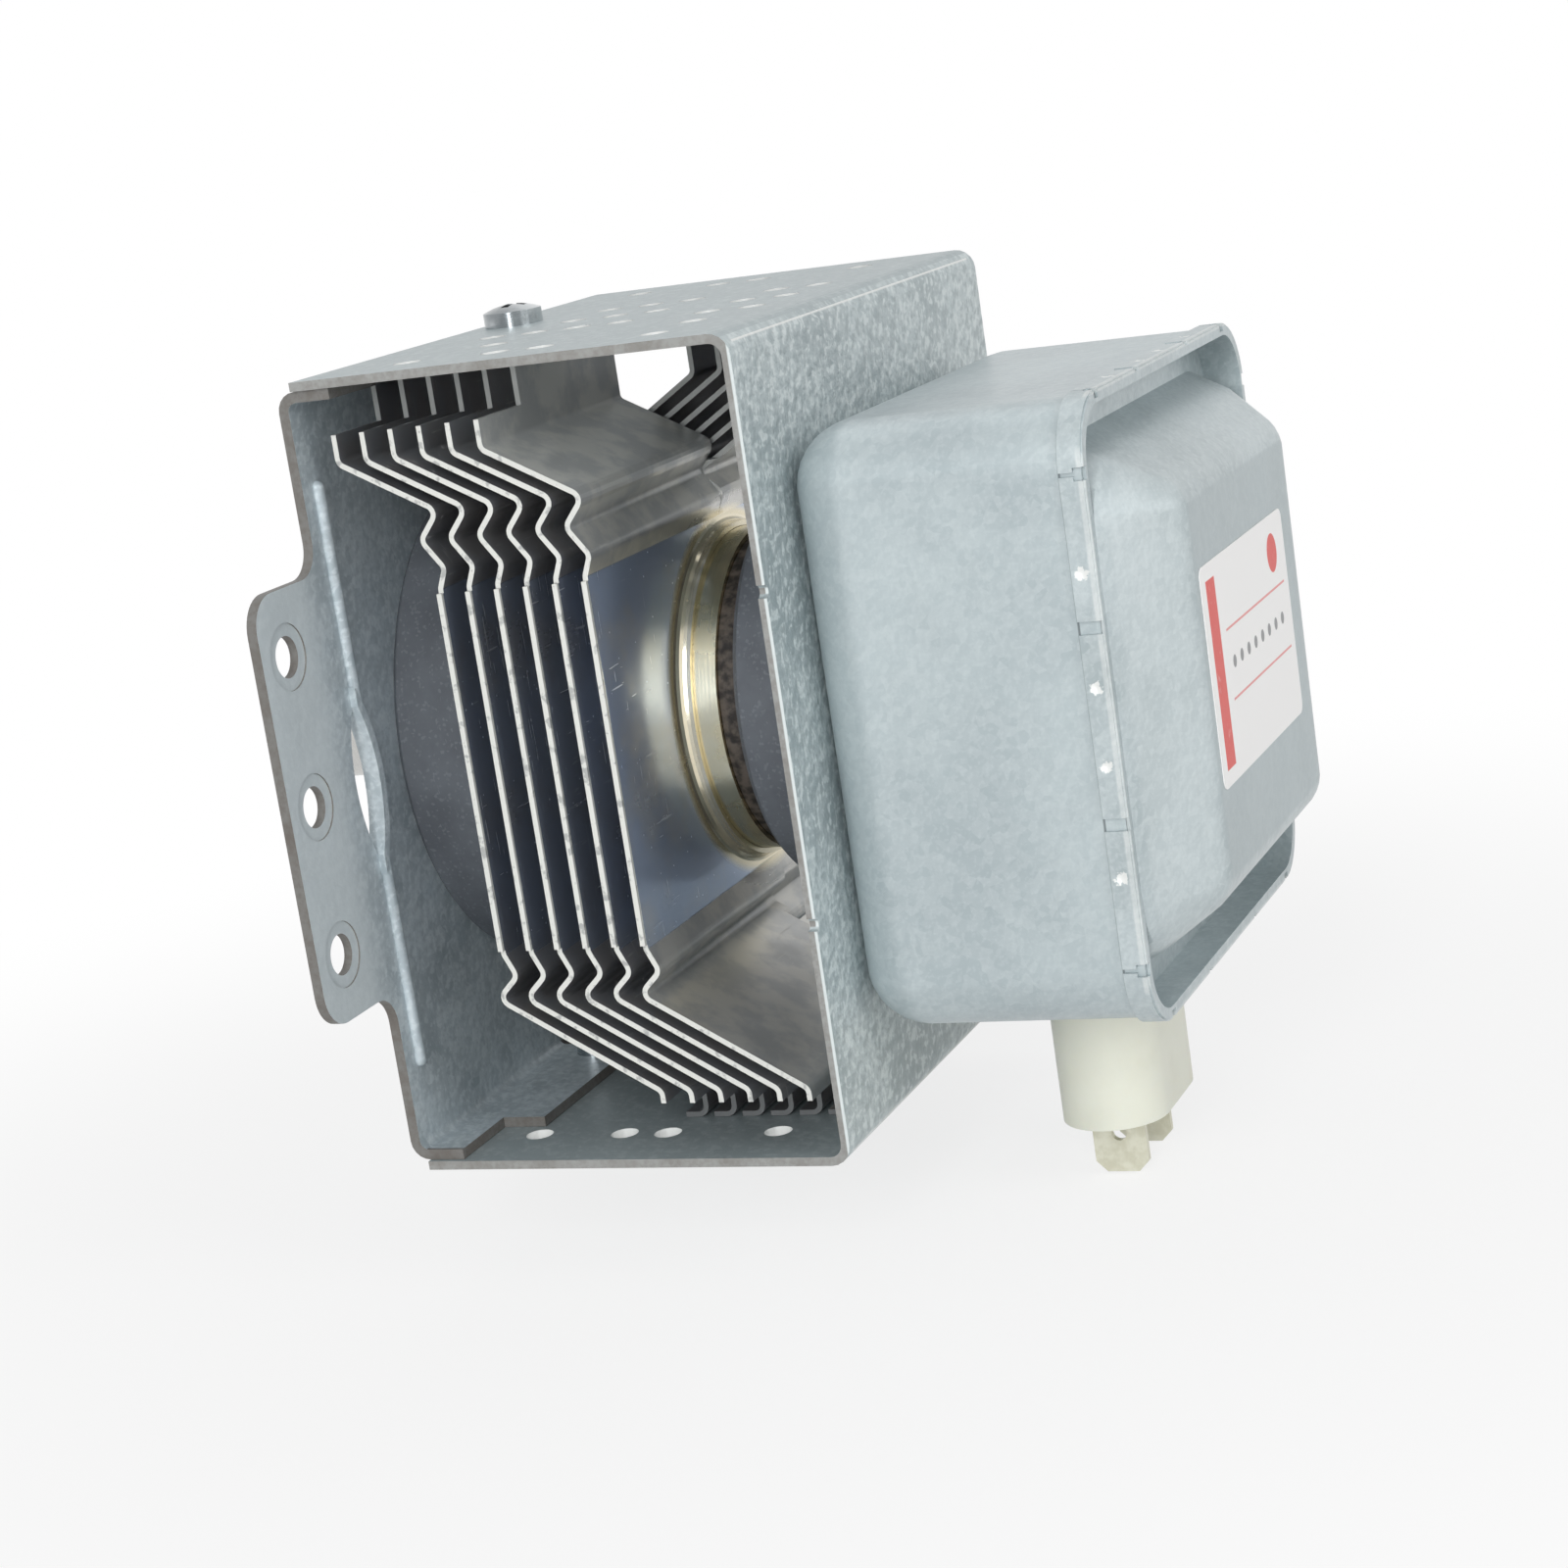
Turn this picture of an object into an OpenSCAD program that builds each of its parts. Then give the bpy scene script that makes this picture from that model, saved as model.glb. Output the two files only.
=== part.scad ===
// Magnetron of a microwave oven.
// X runs along the tube, from the antenna (-X) to the filter box (+X). +Z is up.
// The origin is on the tube's axis, in the outer face of the base plate.

/* [Yoke] */
// Height of the yoke over its flanges
yoke_h = 90; // [86:0.5:110]
// Depth of the yoke, front edge to back edge
yoke_d = 80; // [76:0.5:100]
// Sheet thickness of the yoke
yoke_t = 1; // [0.8:0.1:1.6]
// Outside radius of the yoke's two folds
yoke_fold_r = 2.4; // [2:0.1:4]
// Distance from the mounting face to the ends of the flanges
yoke_start = 2.1; // [1.6:0.1:3]
// Diameter of the vent holes in the flanges
vent_d = 3.2; // [2:0.1:4]
// Distance between vent holes along the tube
vent_column = 5.4; // [4.8:0.1:6]
// Distance between rows of vent holes
vent_row = 10.5; // [9:0.1:11]
// Distance from the mounting face to the first vent holes
vent_start = 12.2; // [11:0.1:14]
// Diameter of the pilot notches in the web's edges
pilot_d = 1.4; // [1:0.1:2]
// Height of the pilot notches above and below the axis
pilot_z = 18; // [10:0.5:25]

/* [Base plate] */
// Sheet thickness of the base plate
plate_t = 1.2; // [0.8:0.1:2]
// Depth of the base plate between its ears
plate_d = 79; // [76:0.5:80]
// Outside radius of the base plate's folds
plate_fold_r = 2.2; // [1.8:0.1:3]
// Distance from the mounting holes to the end of an ear
ear_margin = 5.4; // [4:0.1:9]
// Distance from the outer mounting holes to the sides of an ear
ear_side = 7.3; // [5:0.1:10]
// Radius of an ear's outer corners
ear_corner_r = 4; // [2:0.1:6]
// Radius of the fillets at an ear's root
ear_fillet_r = 3.5; // [1:0.1:5]
// Diameter of the mounting holes
mount_d = 4.6; // [4:0.1:5.5]
// Distance between mounting holes across the two ears
mount_span = 97; // [94:0.5:100]
// Distance between neighbouring mounting holes on an ear
mount_pitch = 16.7; // [12:0.1:18]
// Diameter of the coined ring round a mounting hole
coin_d = 7.4; // [6.5:0.1:9]
// Depth of the coined ring
coin_h = 0.2; // [0.1:0.05:0.4]
// Distance from the axis to the pressed beads
bead_y = 36.4; // [34:0.1:38]
// Length of a pressed bead
bead_l = 67.6; // [40:0.1:75]
// Radius of a pressed bead
bead_r = 0.8; // [0.5:0.05:1]
// Height of the lens-shaped openings
lens_h = 17; // [12:0.1:24]
// Width of the lens-shaped openings
lens_w = 4; // [2.5:0.1:5]
// Width of the raised lip beside a lens-shaped opening
lens_lip_w = 1.1; // [0.6:0.1:2]
// Height of that lip
lens_lip_h = 0.8; // [0.4:0.1:1.5]
// Reach of the screwed tabs along the tube
tab_reach = 11.8; // [11:0.1:14]
// Reach of the short lips at the plate's corners
lip_reach = 6.5; // [5:0.1:9]
// Where a screwed tab starts, from the axis
tab_from = 2.5; // [2:0.1:4]
// Where a screwed tab ends and a corner lip starts, from the axis
tab_to = 29; // [20:0.5:33]

/* [Screws] */
// Thread diameter of the screws
screw_d = 4; // [3:0.1:4.5]
// Length of a screw below its head
screw_l = 6; // [4:0.5:8]
// Diameter of a screw's head
head_d = 7; // [6:0.1:9]
// Height of a screw's head
head_h = 2.5; // [1.8:0.1:3.2]
// Distance from the mounting face to the screws
screw_x = 7.2; // [6.6:0.1:9]
// Distance of the screws from the axis plane
screw_y = 5.3; // [5:0.1:15]

/* [Magnets] */
// Diameter of the antenna-side magnet
antenna_magnet_d = 59; // [50:0.5:64]
// Thickness of the antenna-side magnet
antenna_magnet_t = 11.8; // [9:0.1:15]
// Diameter of the filter-side magnet
filter_magnet_d = 45; // [42:0.5:60]
// Thickness of the filter-side magnet
filter_magnet_t = 12.5; // [8:0.1:15]
// Bore of both magnets
magnet_bore_d = 21.2; // [20.4:0.1:26]
// Chamfer on the magnets' edges
magnet_chamfer = 0.7; // [0.3:0.1:1.5]

/* [Cooling fins] */
// Thickness of the fin sheet
fin_t = 0.6; // [0.4:0.05:0.8]
// Distance between fins
fin_pitch = 3.5; // [3:0.05:3.7]
// Depth of the bent parts of a fin
fin_d = 74; // [66:0.5:76]
// How far the straight part of a fin stands past its bent parts
fin_step = 0.6; // [0.2:0.1:1.5]
// Height of the straight part of a fin
fin_straight = 40.6; // [40:0.1:42]
// Distance from the antenna-side magnet to the first fin
fin_start = 1.5; // [1.5:0.1:1.9]
// Distance from the base plate to the nearest fin tab
tab_near_plate = 3.5; // [3.3:0.1:5]
// Distance from the web to the nearest fin tab
tab_near_web = 4.1; // [2:0.1:6]
// Height above the axis at which the short corners of a fin end
corner_z = 38.6; // [38:0.1:41]
// Distance from the axis plane at which the short corners start
corner_y = 26.5; // [18:0.5:32]
// Length of the feet that lie on the flanges
foot_l = 2.6; // [1.5:0.1:3]
// Length of the collar round a fin's bore
collar_l = 2; // [1.8:0.1:2.6]
// Radius where the collar rises from the fin
collar_r = 1.3; // [0.8:0.1:1.4]

/* [Tube] */
// Outside diameter of the anode cylinder
anode_d = 38; // [34:0.1:39]
// Wall of the anode cylinder
anode_wall = 1.5; // [1:0.1:2.5]
// Length of the anode cylinder
anode_l = 23.8; // [23.2:0.1:28]
// Length of the rough base of the filter-side seal can
can_base_l = 3.4; // [3:0.1:8]
// Outside diameter of the seal cans' necks
can_neck_d = 19.2; // [18.4:0.1:19.8]
// Wall of the seal cans
can_wall = 0.6; // [0.4:0.05:1]
// Thickness of the anode vanes
vane_t = 1.9; // [1.2:0.1:2.2]
// Length of the vanes along the tube
vane_l = 9.5; // [8:0.1:11]
// Diameter of the space that the vanes leave for the cathode
vane_bore_d = 9.4; // [8:0.1:11]
// Thickness of the pole pieces
pole_t = 1.6; // [1:0.1:2]
// Diameter of the central hole of the pole pieces
pole_bore_d = 8.8; // [8.4:0.1:9.6]
// Distance of the antenna lead from the axis where it meets its vane
lead_offset = 7.4; // [7.2:0.1:7.6]
// Diameter of the antenna lead
lead_d = 2; // [1:0.1:2.4]
// Distance from the mounting face to the end of the antenna-side can
can_out = 5.5; // [5:0.1:9]
// Length of the output ceramic
output_l = 8; // [5:0.1:12]
// Outside diameter of the output ceramic
output_d = 16.4; // [15.5:0.1:17.5]
// Outside diameter of the antenna cap
cap_d = 15; // [13:0.1:16]
// Length of the antenna cap
cap_l = 13; // [10:0.1:18]
// Wall of the antenna cap
cap_wall = 0.6; // [0.4:0.05:0.8]
// Edge radius of the antenna cap
cap_edge_r = 2; // [1.2:0.1:3]
// Outside diameter of the mesh gasket
gasket_d = 31; // [27:0.5:36]
// Height of the mesh gasket
gasket_h = 4.5; // [3:0.1:5]

/* [Cathode] */
// Mean diameter of the filament's turns
filament_d = 4; // [3.2:0.1:5]
// Wire diameter of the filament
filament_wire_d = 0.7; // [0.4:0.05:0.9]
// Diameter of the end hats
hat_d = 7.2; // [6:0.1:7.6]
// Thickness of the end hats
hat_t = 1.2; // [0.8:0.1:1.4]
// Diameter of the cathode leads
rod_d = 1.6; // [1:0.1:1.8]
// Distance between the cathode leads at the stem
rod_gap = 8; // [6:0.1:9]
// Distance from the web to the end of the filter-side can
can_in = 6.2; // [5:0.1:8]
// Length of the stem ceramic past the can
stem_l = 8; // [5:0.1:9]
// How far the cathode leads stand out of the stem ceramic
rod_out = 5; // [4:0.1:6]

/* [Filter box] */
// Width of the filter box, front to back
box_w = 66.6; // [60:0.2:72]
// Height of the filter box
box_h = 66.6; // [60:0.2:72]
// Length of the filter box along the tube
box_l = 33.2; // [33:0.2:40]
// Wall of the filter box
box_t = 0.5; // [0.4:0.05:0.9]
// Corner and draw radius of the filter box
box_r = 7; // [4:0.1:9]
// Wall of the lid
lid_t = 0.4; // [0.35:0.05:0.6]
// Length of the lid's skirt outside the box
skirt_l = 2.3; // [2:0.1:3]
// Height of the lid's dome over its rim
dome_out = 6.8; // [5:0.1:7.5]
// Radius of the ridge round the dome's face
ridge_r = 5; // [3:0.1:6]
// Width of the dome's face, ridge to ridge, front to back
face_w = 44.4; // [40:0.2:50]
// Height of the dome's face, ridge to ridge
face_h = 44; // [40:0.2:48]
// Height of the dome where it stands out of the rim
dome_h = 52.8; // [50:0.2:54]
// Height of the dome at the bottom of the channels
dome_foot_h = 57.6; // [56:0.2:61]
// Corner radius of the dome's foot
dome_r = 8; // [6:0.1:9]
// Depth of the channels above and below the dome
channel_h = 4; // [2.6:0.1:4.5]
// Distance of the skirt's notches from the middle
notch_z = 10.4; // [8:0.1:12]
// Distance of the skirt's end gaps from the middle
skirt_end_z = 26.2; // [24:0.1:27]
// Width of the skirt's notches
notch_w = 1.4; // [0.6:0.1:1.6]
// Diameter of the stake marks on the skirt
stake_d = 1.8; // [1:0.1:2]

/* [Filter] */
// Distance from the web to the middle of the feedthrough capacitor
feed_x = 18.8; // [17:0.1:19.4]
// Distance between the terminals
feed_gap = 10; // [9.6:0.1:12]
// Width of the capacitor's white case
case_w = 12.4; // [11:0.1:14]
// Length of the case below the filter box
case_l = 18.6; // [12:0.1:22]
// Height of the capacitor block inside the box
block_l = 7; // [5:0.1:9]
// Width of the blade terminals
blade_w = 6.35; // [4.8:0.05:7]
// Thickness of the blade terminals
blade_t = 0.8; // [0.5:0.05:1]
// Length of the blades below the case
blade_l = 7; // [6:0.1:10]
// Width of the terminals' tails inside the box
tail_w = 2; // [1.5:0.1:3]
// Length of the tails past the capacitor block
tail_l = 4.5; // [3:0.1:6]
// Diameter of the ferrite cores
core_d = 5.8; // [4:0.1:6]
// Length of the ferrite cores
core_l = 33; // [30:0.5:35]
// Wire diameter of the choke coils
coil_wire_d = 1.4; // [1:0.05:1.6]
// Number of turns of a choke coil
coil_turns = 9; // [5:1:10]
// Distance from one turn of a choke coil to the next
coil_pitch = 2.9; // [2.6:0.05:3]
// Distance of the choke coils from the axis plane
coil_y = 14; // [13.5:0.1:16]

/* [Clearances] */
// Gap between pieces that are fitted into each other
fit = 0.05; // [0.02:0.01:0.1]
// Gap round pieces that pass through a hole
clearance = 0.3; // [0.2:0.05:0.5]

/* [Hidden] */
$fn = 64;
fin_count = 6;
vane_count = 10;

// Places along the tube, from the mounting face to the web
magnet_end = plate_t + antenna_magnet_t;
anode_x0 = magnet_end + fit;
anode_x1 = anode_x0 + anode_l;
anode_mid = (anode_x0 + anode_x1) / 2;
filter_magnet_x0 = anode_x1 + can_base_l;
web_in = filter_magnet_x0 + filter_magnet_t + fit;
web_out = web_in + yoke_t;

// The base plate's ears
ear_l = mount_span / 2 + ear_margin - plate_d / 2;
ear_h = 2 * (mount_pitch + ear_side);

// The space inside the yoke
yoke_in = yoke_h / 2 - yoke_t;
anode_r = anode_d / 2;
anode_in_r = anode_r - anode_wall;
can_r = can_neck_d / 2;

// Fin places and bends, as offsets from the fin's own plane
fin_x0 = anode_x0 + fin_start;
plate_side_shift = plate_t + tab_near_plate - fin_x0;
web_side_shift = web_in - tab_near_web - fin_x0 - (fin_count - 1) * fin_pitch;
fin_bend_r = 1;
foot_z = yoke_in - fit - fin_t / 2;
bead_z = fin_straight / 2 + 0.5;
tab_z = corner_z - 3;
split_z = bead_z + 6.5;

// The filter box and its lid
rim_x = web_out + box_l;
lid_top = rim_x + lid_t;
dome_top = lid_top + dome_out;
feed = web_out + feed_x;
feed_top = -box_h / 2 + box_t;
block_top = feed_top + block_l;
case_bottom = -box_h / 2 - fit - case_l;
blade_bottom = case_bottom - blade_l;
tail_top = block_top + tail_l;
stem_end = web_out + can_in + stem_l;
rod_end = stem_end + rod_out;
coil_r = core_d / 2 + clearance + coil_wire_d / 2;
coil_x = stem_end + 2.4 + coil_r + coil_wire_d / 2;
coil_top = coil_turns * coil_pitch - 7;

pipe_start = -can_out - output_l - fit;
pipe_end = pipe_start - cap_l + 2.5;
pipe_pinch = pipe_end + cap_l / 3;
vane_x0 = anode_mid - vane_l / 2;
pole_tip = vane_x0 - 1;
strap_r = [9.2, 10.7];
strap_w = 0.7;
strap_l = 1.2;
arc_steps = 5;
helix_steps = 14;
wire_sides = 8;
rod_ease = 2;

// Directions in a plane
function unit(v) = v / norm(v);
function left_of(v) = [-v[1], v[0]];
function turned(v, a) = [v[0] * cos(a) - v[1] * sin(a), v[0] * sin(a) + v[1] * cos(a)];
function reversed(list) = [for (i = [len(list) - 1 : -1 : 0]) list[i]];
function flipped(list) = [for (p = list) [p[0], -p[1]]];

// Arc round the fold at b, offset to the left of the sheet's middle line
function fold_arc(a, b, c, r, offset) =
    let (u = unit(b - a))
    let (w = unit(c - b))
    let (turn = atan2(cross(u, w), u * w))
    let (side = sign(turn))
    let (centre = b - u * r * tan(abs(turn) / 2) + left_of(u) * side * r)
    [for (i = [0 : arc_steps]) centre + turned(-left_of(u) * (side * r - offset), turn * i / arc_steps)];

// One side of a folded sheet whose middle line runs through the points
function sheet_side(p, r, offset) =
    let (last = len(p) - 1)
    concat(
        [p[0] + left_of(unit(p[1] - p[0])) * offset],
        [for (i = [1 : last - 1]) each fold_arc(p[i - 1], p[i], p[i + 1], r, offset)],
        [p[last] + left_of(unit(p[last] - p[last - 1])) * offset]);

// Section of a folded sheet
function sheet(p, r, t) = concat(sheet_side(p, r, t / 2), reversed(sheet_side(p, r, -t / 2)));

// Section of a fin's front half, from the foot on the lower flange to the foot on the upper one
function fin_line() = [
    [web_side_shift - foot_l, -foot_z],
    [web_side_shift, -foot_z],
    [web_side_shift, -tab_z - 1.6],
    [-1.6, -bead_z - 5.2],
    [1.2, -bead_z - 2.6],
    [0, -bead_z],
    [0, bead_z],
    [0.9, bead_z + 2.2],
    [-1.4, bead_z + 5.4],
    [1.2, bead_z + 8.5],
    [plate_side_shift, tab_z - 0.2],
    [plate_side_shift, foot_z],
    [plate_side_shift - foot_l, foot_z]];

// A sheet section in the XZ plane, drawn out from y0 to y1
module drawn_y(y0, y1) {
    translate([0, y1, 0]) rotate([90, 0, 0]) linear_extrude(y1 - y0) children();
}

// A flat shape in the YZ plane, drawn out from x0 to x1
module drawn_x(x0, x1) {
    translate([x0, 0, 0]) rotate([90, 0, 90]) linear_extrude(x1 - x0) children();
}

// A flat shape in the XY plane, drawn out from z0 to z1
module drawn_z(z0, z1) {
    translate([0, 0, z0]) linear_extrude(z1 - z0) children();
}

// A section of radius and X, turned round the tube's axis
module turned_x() {
    rotate([0, 90, 0]) rotate_extrude() children();
}

// A rod along the tube
module rod_x(x0, x1, r) {
    translate([x0, 0, 0]) rotate([0, 90, 0]) cylinder(h = x1 - x0, r = r);
}

// A tube along the tube's axis
module tube_x(x0, x1, r, r_in) {
    difference() {
        rod_x(x0, x1, r);
        rod_x(x0 - 1, x1 + 1, r_in);
    }
}

// The same piece again, half a turn round the tube
module twice() {
    children();
    rotate([180, 0, 0]) children();
}

// Path through the points with its corners eased over a length r
function eased(p, r) =
    let (last = len(p) - 1)
    concat(
        [p[0]],
        [for (i = [1 : last - 1], share = [0 : 0.25 : 1])
            let (a = p[i] + unit(p[i - 1] - p[i]) * r)
            let (b = p[i] + unit(p[i + 1] - p[i]) * r)
            a * pow(1 - share, 2) + p[i] * 2 * share * (1 - share) + b * pow(share, 2)],
        [p[last]]);

// Cross directions along a path, each turned as little as can be from the one before
function square_to(n, t) = unit(n - t * (n * t));
function path_runs(p) = [for (i = [0 : len(p) - 1]) unit(p[min(i + 1, len(p) - 1)] - p[max(i - 1, 0)])];
function path_sides(t) = [for (
    i = 0, n = square_to([0.3, 0.2, 1], t[0]);
    i < len(t);
    i = i + 1, n = i < len(t) ? square_to(n, t[i]) : n) n];

// A wire along a path of many points
module wire(p, d) {
    t = path_runs(p);
    n = path_sides(t);
    rings = len(p);
    skin = [for (i = [0 : rings - 1], k = [0 : wire_sides - 1])
        let (a = 360 * k / wire_sides)
        p[i] + d / 2 * (cos(a) * n[i] + sin(a) * cross(t[i], n[i]))];
    walls = [for (i = [0 : rings - 2], k = [0 : wire_sides - 1])
        let (next = (k + 1) % wire_sides)
        [i * wire_sides + k, (i + 1) * wire_sides + k, (i + 1) * wire_sides + next, i * wire_sides + next]];
    ends = [
        [for (k = [0 : wire_sides - 1]) k],
        [for (k = [wire_sides - 1 : -1 : 0]) (rings - 1) * wire_sides + k]];
    polyhedron(points = skin, faces = concat(walls, ends), convexity = 10);
}

// A rectangle with round corners
module round_rect(w, h, r) {
    square([w - 2 * r, h], center = true);
    square([w, h - 2 * r], center = true);
    for (a = [-1, 1], b = [-1, 1]) translate([a * (w / 2 - r), b * (h / 2 - r)]) circle(r = r);
}

// A slot with round ends, its length along Y
module slot(w, l) {
    square([w, l - w], center = true);
    for (a = [-1, 1]) translate([0, a * (l - w) / 2]) circle(d = w);
}

// Vent holes of one flange, cut through its sheet
module vents() {
    middle = [0, 1, 2, 3, 5, 6];
    outer = [0, 2, 3, 5.5];
    wing = [1, 5.5];
    for (row = [-1, 0, 1], column = middle)
        if (column > 0 || row < 0) vent(column, row);
    for (row = [-3, 3], column = outer) vent(column, row);
    for (column = wing) vent(column, -2);
}

module vent(column, row) {
    translate([vent_start + column * vent_column, row * vent_row, yoke_in - 1])
        cylinder(h = yoke_t + 2, d = vent_d);
}

module yoke() {
    middle_z = yoke_h / 2 - yoke_t / 2;
    middle_x = web_out - yoke_t / 2;
    line = [[yoke_start, -middle_z], [middle_x, -middle_z], [middle_x, middle_z], [yoke_start, middle_z]];
    color("lightsteelblue") difference() {
        drawn_y(-yoke_d / 2, yoke_d / 2) polygon(sheet(line, yoke_fold_r - yoke_t / 2, yoke_t));
        twice() vents();
        twice() translate([screw_x, screw_y, yoke_in - 1]) cylinder(h = yoke_t + 2, d = screw_d + clearance);
        rod_x(web_in - 1, web_out + 1, can_r + clearance);
        for (y = [-1, 1], z = [-1, 1])
            translate([0, y * yoke_d / 2, z * pilot_z]) rod_x(web_in - 1, web_out + 1, pilot_d / 2);
    }
}

// Outline of one ear with its root fillets
module ear() {
    root = plate_d / 2;
    translate([root - 1, -ear_h / 2 + ear_corner_r]) square([ear_l + 1, ear_h - 2 * ear_corner_r]);
    translate([root - 1, -ear_h / 2]) square([ear_l + 1 - ear_corner_r, ear_h]);
    for (z = [-1, 1]) {
        translate([root + ear_l - ear_corner_r, z * (ear_h / 2 - ear_corner_r)]) circle(r = ear_corner_r);
        difference() {
            translate([root - 1, z * ear_h / 2 - (z < 0 ? ear_fillet_r : 0)])
                square([1 + ear_fillet_r, ear_fillet_r]);
            translate([root + ear_fillet_r, z * (ear_h / 2 + ear_fillet_r)]) circle(r = ear_fillet_r);
        }
    }
}

// Lens of two arcs, grown by a margin
module lens(margin) {
    r = (pow(lens_h / 2, 2) + pow(lens_w / 2, 2)) / lens_w;
    intersection() {
        translate([lens_w / 2 - r, 0]) circle(r = r + margin, $fn = 128);
        translate([r - lens_w / 2, 0]) circle(r = r + margin, $fn = 128);
    }
}

// A folded edge of the base plate that reaches along the lower flange
module plate_fold(y0, y1, reach) {
    z = -yoke_in + fit + plate_t / 2;
    line = [[plate_t / 2, z + 2 * plate_fold_r], [plate_t / 2, z], [reach, z]];
    drawn_y(y0, y1) polygon(sheet(line, plate_fold_r - plate_t / 2, plate_t));
}

module base_plate() {
    flat_z = yoke_in - fit - plate_fold_r;
    lens_y = bead_y + lens_w / 4;
    color("lightsteelblue") difference() {
        union() {
            drawn_x(0, plate_t) square([plate_d, 2 * flat_z], center = true);
            twice() {
                drawn_x(0, plate_t) mirror([1, 0]) ear();
                drawn_x(0, plate_t) translate([-tab_from, -flat_z - plate_fold_r])
                    square([tab_from + tab_to, 2 * plate_fold_r]);
                plate_fold(-plate_d / 2, -tab_to, lip_reach);
                plate_fold(tab_to, plate_d / 2, lip_reach);
                plate_fold(-tab_to, -tab_from, tab_reach);
                translate([plate_t, -bead_y, -bead_l / 2 + bead_r]) {
                    cylinder(h = bead_l - 2 * bead_r, r = bead_r);
                    sphere(r = bead_r);
                    translate([0, 0, bead_l - 2 * bead_r]) sphere(r = bead_r);
                }
                drawn_x(plate_t / 2, plate_t + lens_lip_h) translate([-lens_y, 0]) intersection() {
                    lens(lens_lip_w);
                    translate([0, -lens_h]) square(2 * lens_h);
                }
            }
        }
        rod_x(-1, plate_t + 1, can_r + clearance);
        twice() {
            drawn_x(-1, plate_t + lens_lip_h + 1) translate([-lens_y, 0]) lens(0);
            for (i = [-1 : 1]) translate([0, -mount_span / 2, i * mount_pitch]) {
                rod_x(-1, plate_t + 1, mount_d / 2);
                rod_x(plate_t - coin_h, plate_t + 1, coin_d / 2);
            }
            translate([screw_x, screw_y, 0]) cylinder(h = yoke_in, d = screw_d + 2 * fit);
        }
    }
}

// A pan-head screw that points down, its head resting on z = 0
module pan_screw() {
    crown_r = 1.2 * head_d;
    difference() {
        union() {
            translate([0, 0, -screw_l]) cylinder(h = screw_l + fit, d = screw_d);
            intersection() {
                cylinder(h = head_h, d = head_d);
                translate([0, 0, head_h - crown_r]) sphere(r = crown_r);
            }
        }
        for (a = [0, 90]) rotate(a) translate([0, 0, head_h])
            cube([head_d * 0.55, head_d * 0.14, head_h], center = true);
    }
}

module yoke_screws() {
    color("silver") twice() translate([screw_x, screw_y, yoke_h / 2]) pan_screw();
}

// A ring magnet with chamfered edges
module ring_magnet(x0, x1, d) {
    r = d / 2;
    c = magnet_chamfer;
    bore = magnet_bore_d / 2;
    turned_x() polygon([[bore, x0], [r - c, x0], [r, x0 + c], [r, x1 - c], [r - c, x1], [bore, x1]]);
}

module antenna_side_magnet() {
    color("dimgray") ring_magnet(plate_t, magnet_end, antenna_magnet_d);
}

module filter_side_magnet() {
    color("dimgray") ring_magnet(filter_magnet_x0, filter_magnet_x0 + filter_magnet_t, filter_magnet_d);
}

// The collar that a fin's bore is drawn into, with its outside radius
module collar(r) {
    middle = [r + collar_r, fin_t / 2 + collar_r - 0.08];
    rise = [for (i = [0 : arc_steps]) let (a = 270 - 90 * i / arc_steps) middle + collar_r * [cos(a), sin(a)]];
    turned_x() polygon(concat([[r - 2 * fin_t, collar_l], [r - 2 * fin_t, 0], [r + collar_r, 0]], rise, [[r, collar_l]]));
}

module cooling_fin(i) {
    x = fin_x0 + (i - 1) * fin_pitch;
    line = fin_line();
    bore_r = anode_r + fit;
    lap = fin_t;
    color("gainsboro") translate([x, 0, 0]) difference() {
        union() {
            drawn_y(-fin_d / 2, lap) polygon(sheet(line, fin_bend_r, fin_t));
            drawn_y(-lap, fin_d / 2) polygon(sheet(reversed(flipped(line)), fin_bend_r, fin_t));
            cube([fin_t, fin_d + 2 * fin_step, fin_straight], center = true);
            collar(bore_r + fin_t);
        }
        rod_x(-fin_t, collar_l + 1, bore_r);
        twice() for (y = [-1, 1])
            translate([-yoke_d, y * (corner_y + yoke_d / 2) - yoke_d / 2, corner_z])
                cube([2 * yoke_d, yoke_d, yoke_h]);
        twice() translate([-yoke_d, -lap - clearance, split_z])
            cube([2 * yoke_d, 2 * (lap + clearance), yoke_h]);
    }
}

module anode_cylinder() {
    color("wheat") tube_x(anode_x0, anode_x1, anode_r, anode_in_r);
}

module strap_groove(x0, x1) {
    tube_x(x0, x1, strap_r[1] + strap_w + clearance, strap_r[0] - clearance);
}

module anode_vanes() {
    outer = anode_in_r - fit;
    inner = vane_bore_d / 2;
    color("peru") difference() {
        for (i = [0 : vane_count - 1]) rotate([360 * i / vane_count, 0, 0])
            translate([vane_x0, -vane_t / 2, inner]) cube([vane_l, vane_t, outer - inner - clearance]);
        strap_groove(vane_x0 - 1, vane_x0 + strap_l);
        strap_groove(vane_x0 + vane_l - strap_l, vane_x0 + vane_l + 1);
    }
}

module strap_rings() {
    color("silver") for (r = strap_r, x = [vane_x0, vane_x0 + vane_l - strap_l])
        tube_x(x - (x > anode_mid ? -fit : fit), x + strap_l - (x > anode_mid ? -fit : fit), r + strap_w, r);
}

// A funnel-shaped pole piece that leads the field from the tube's end to the vanes
module pole_piece() {
    outer = anode_in_r - fit;
    bore = pole_bore_d / 2;
    back = anode_x0 + can_wall + fit;
    shoulder = outer - 5;
    turned_x() polygon([
        [outer, back], [outer, back + pole_t], [shoulder, back + pole_t], [bore + pole_t, pole_tip],
        [bore, pole_tip], [bore, pole_tip - pole_t], [shoulder - pole_t / 2, back]]);
}

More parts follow.
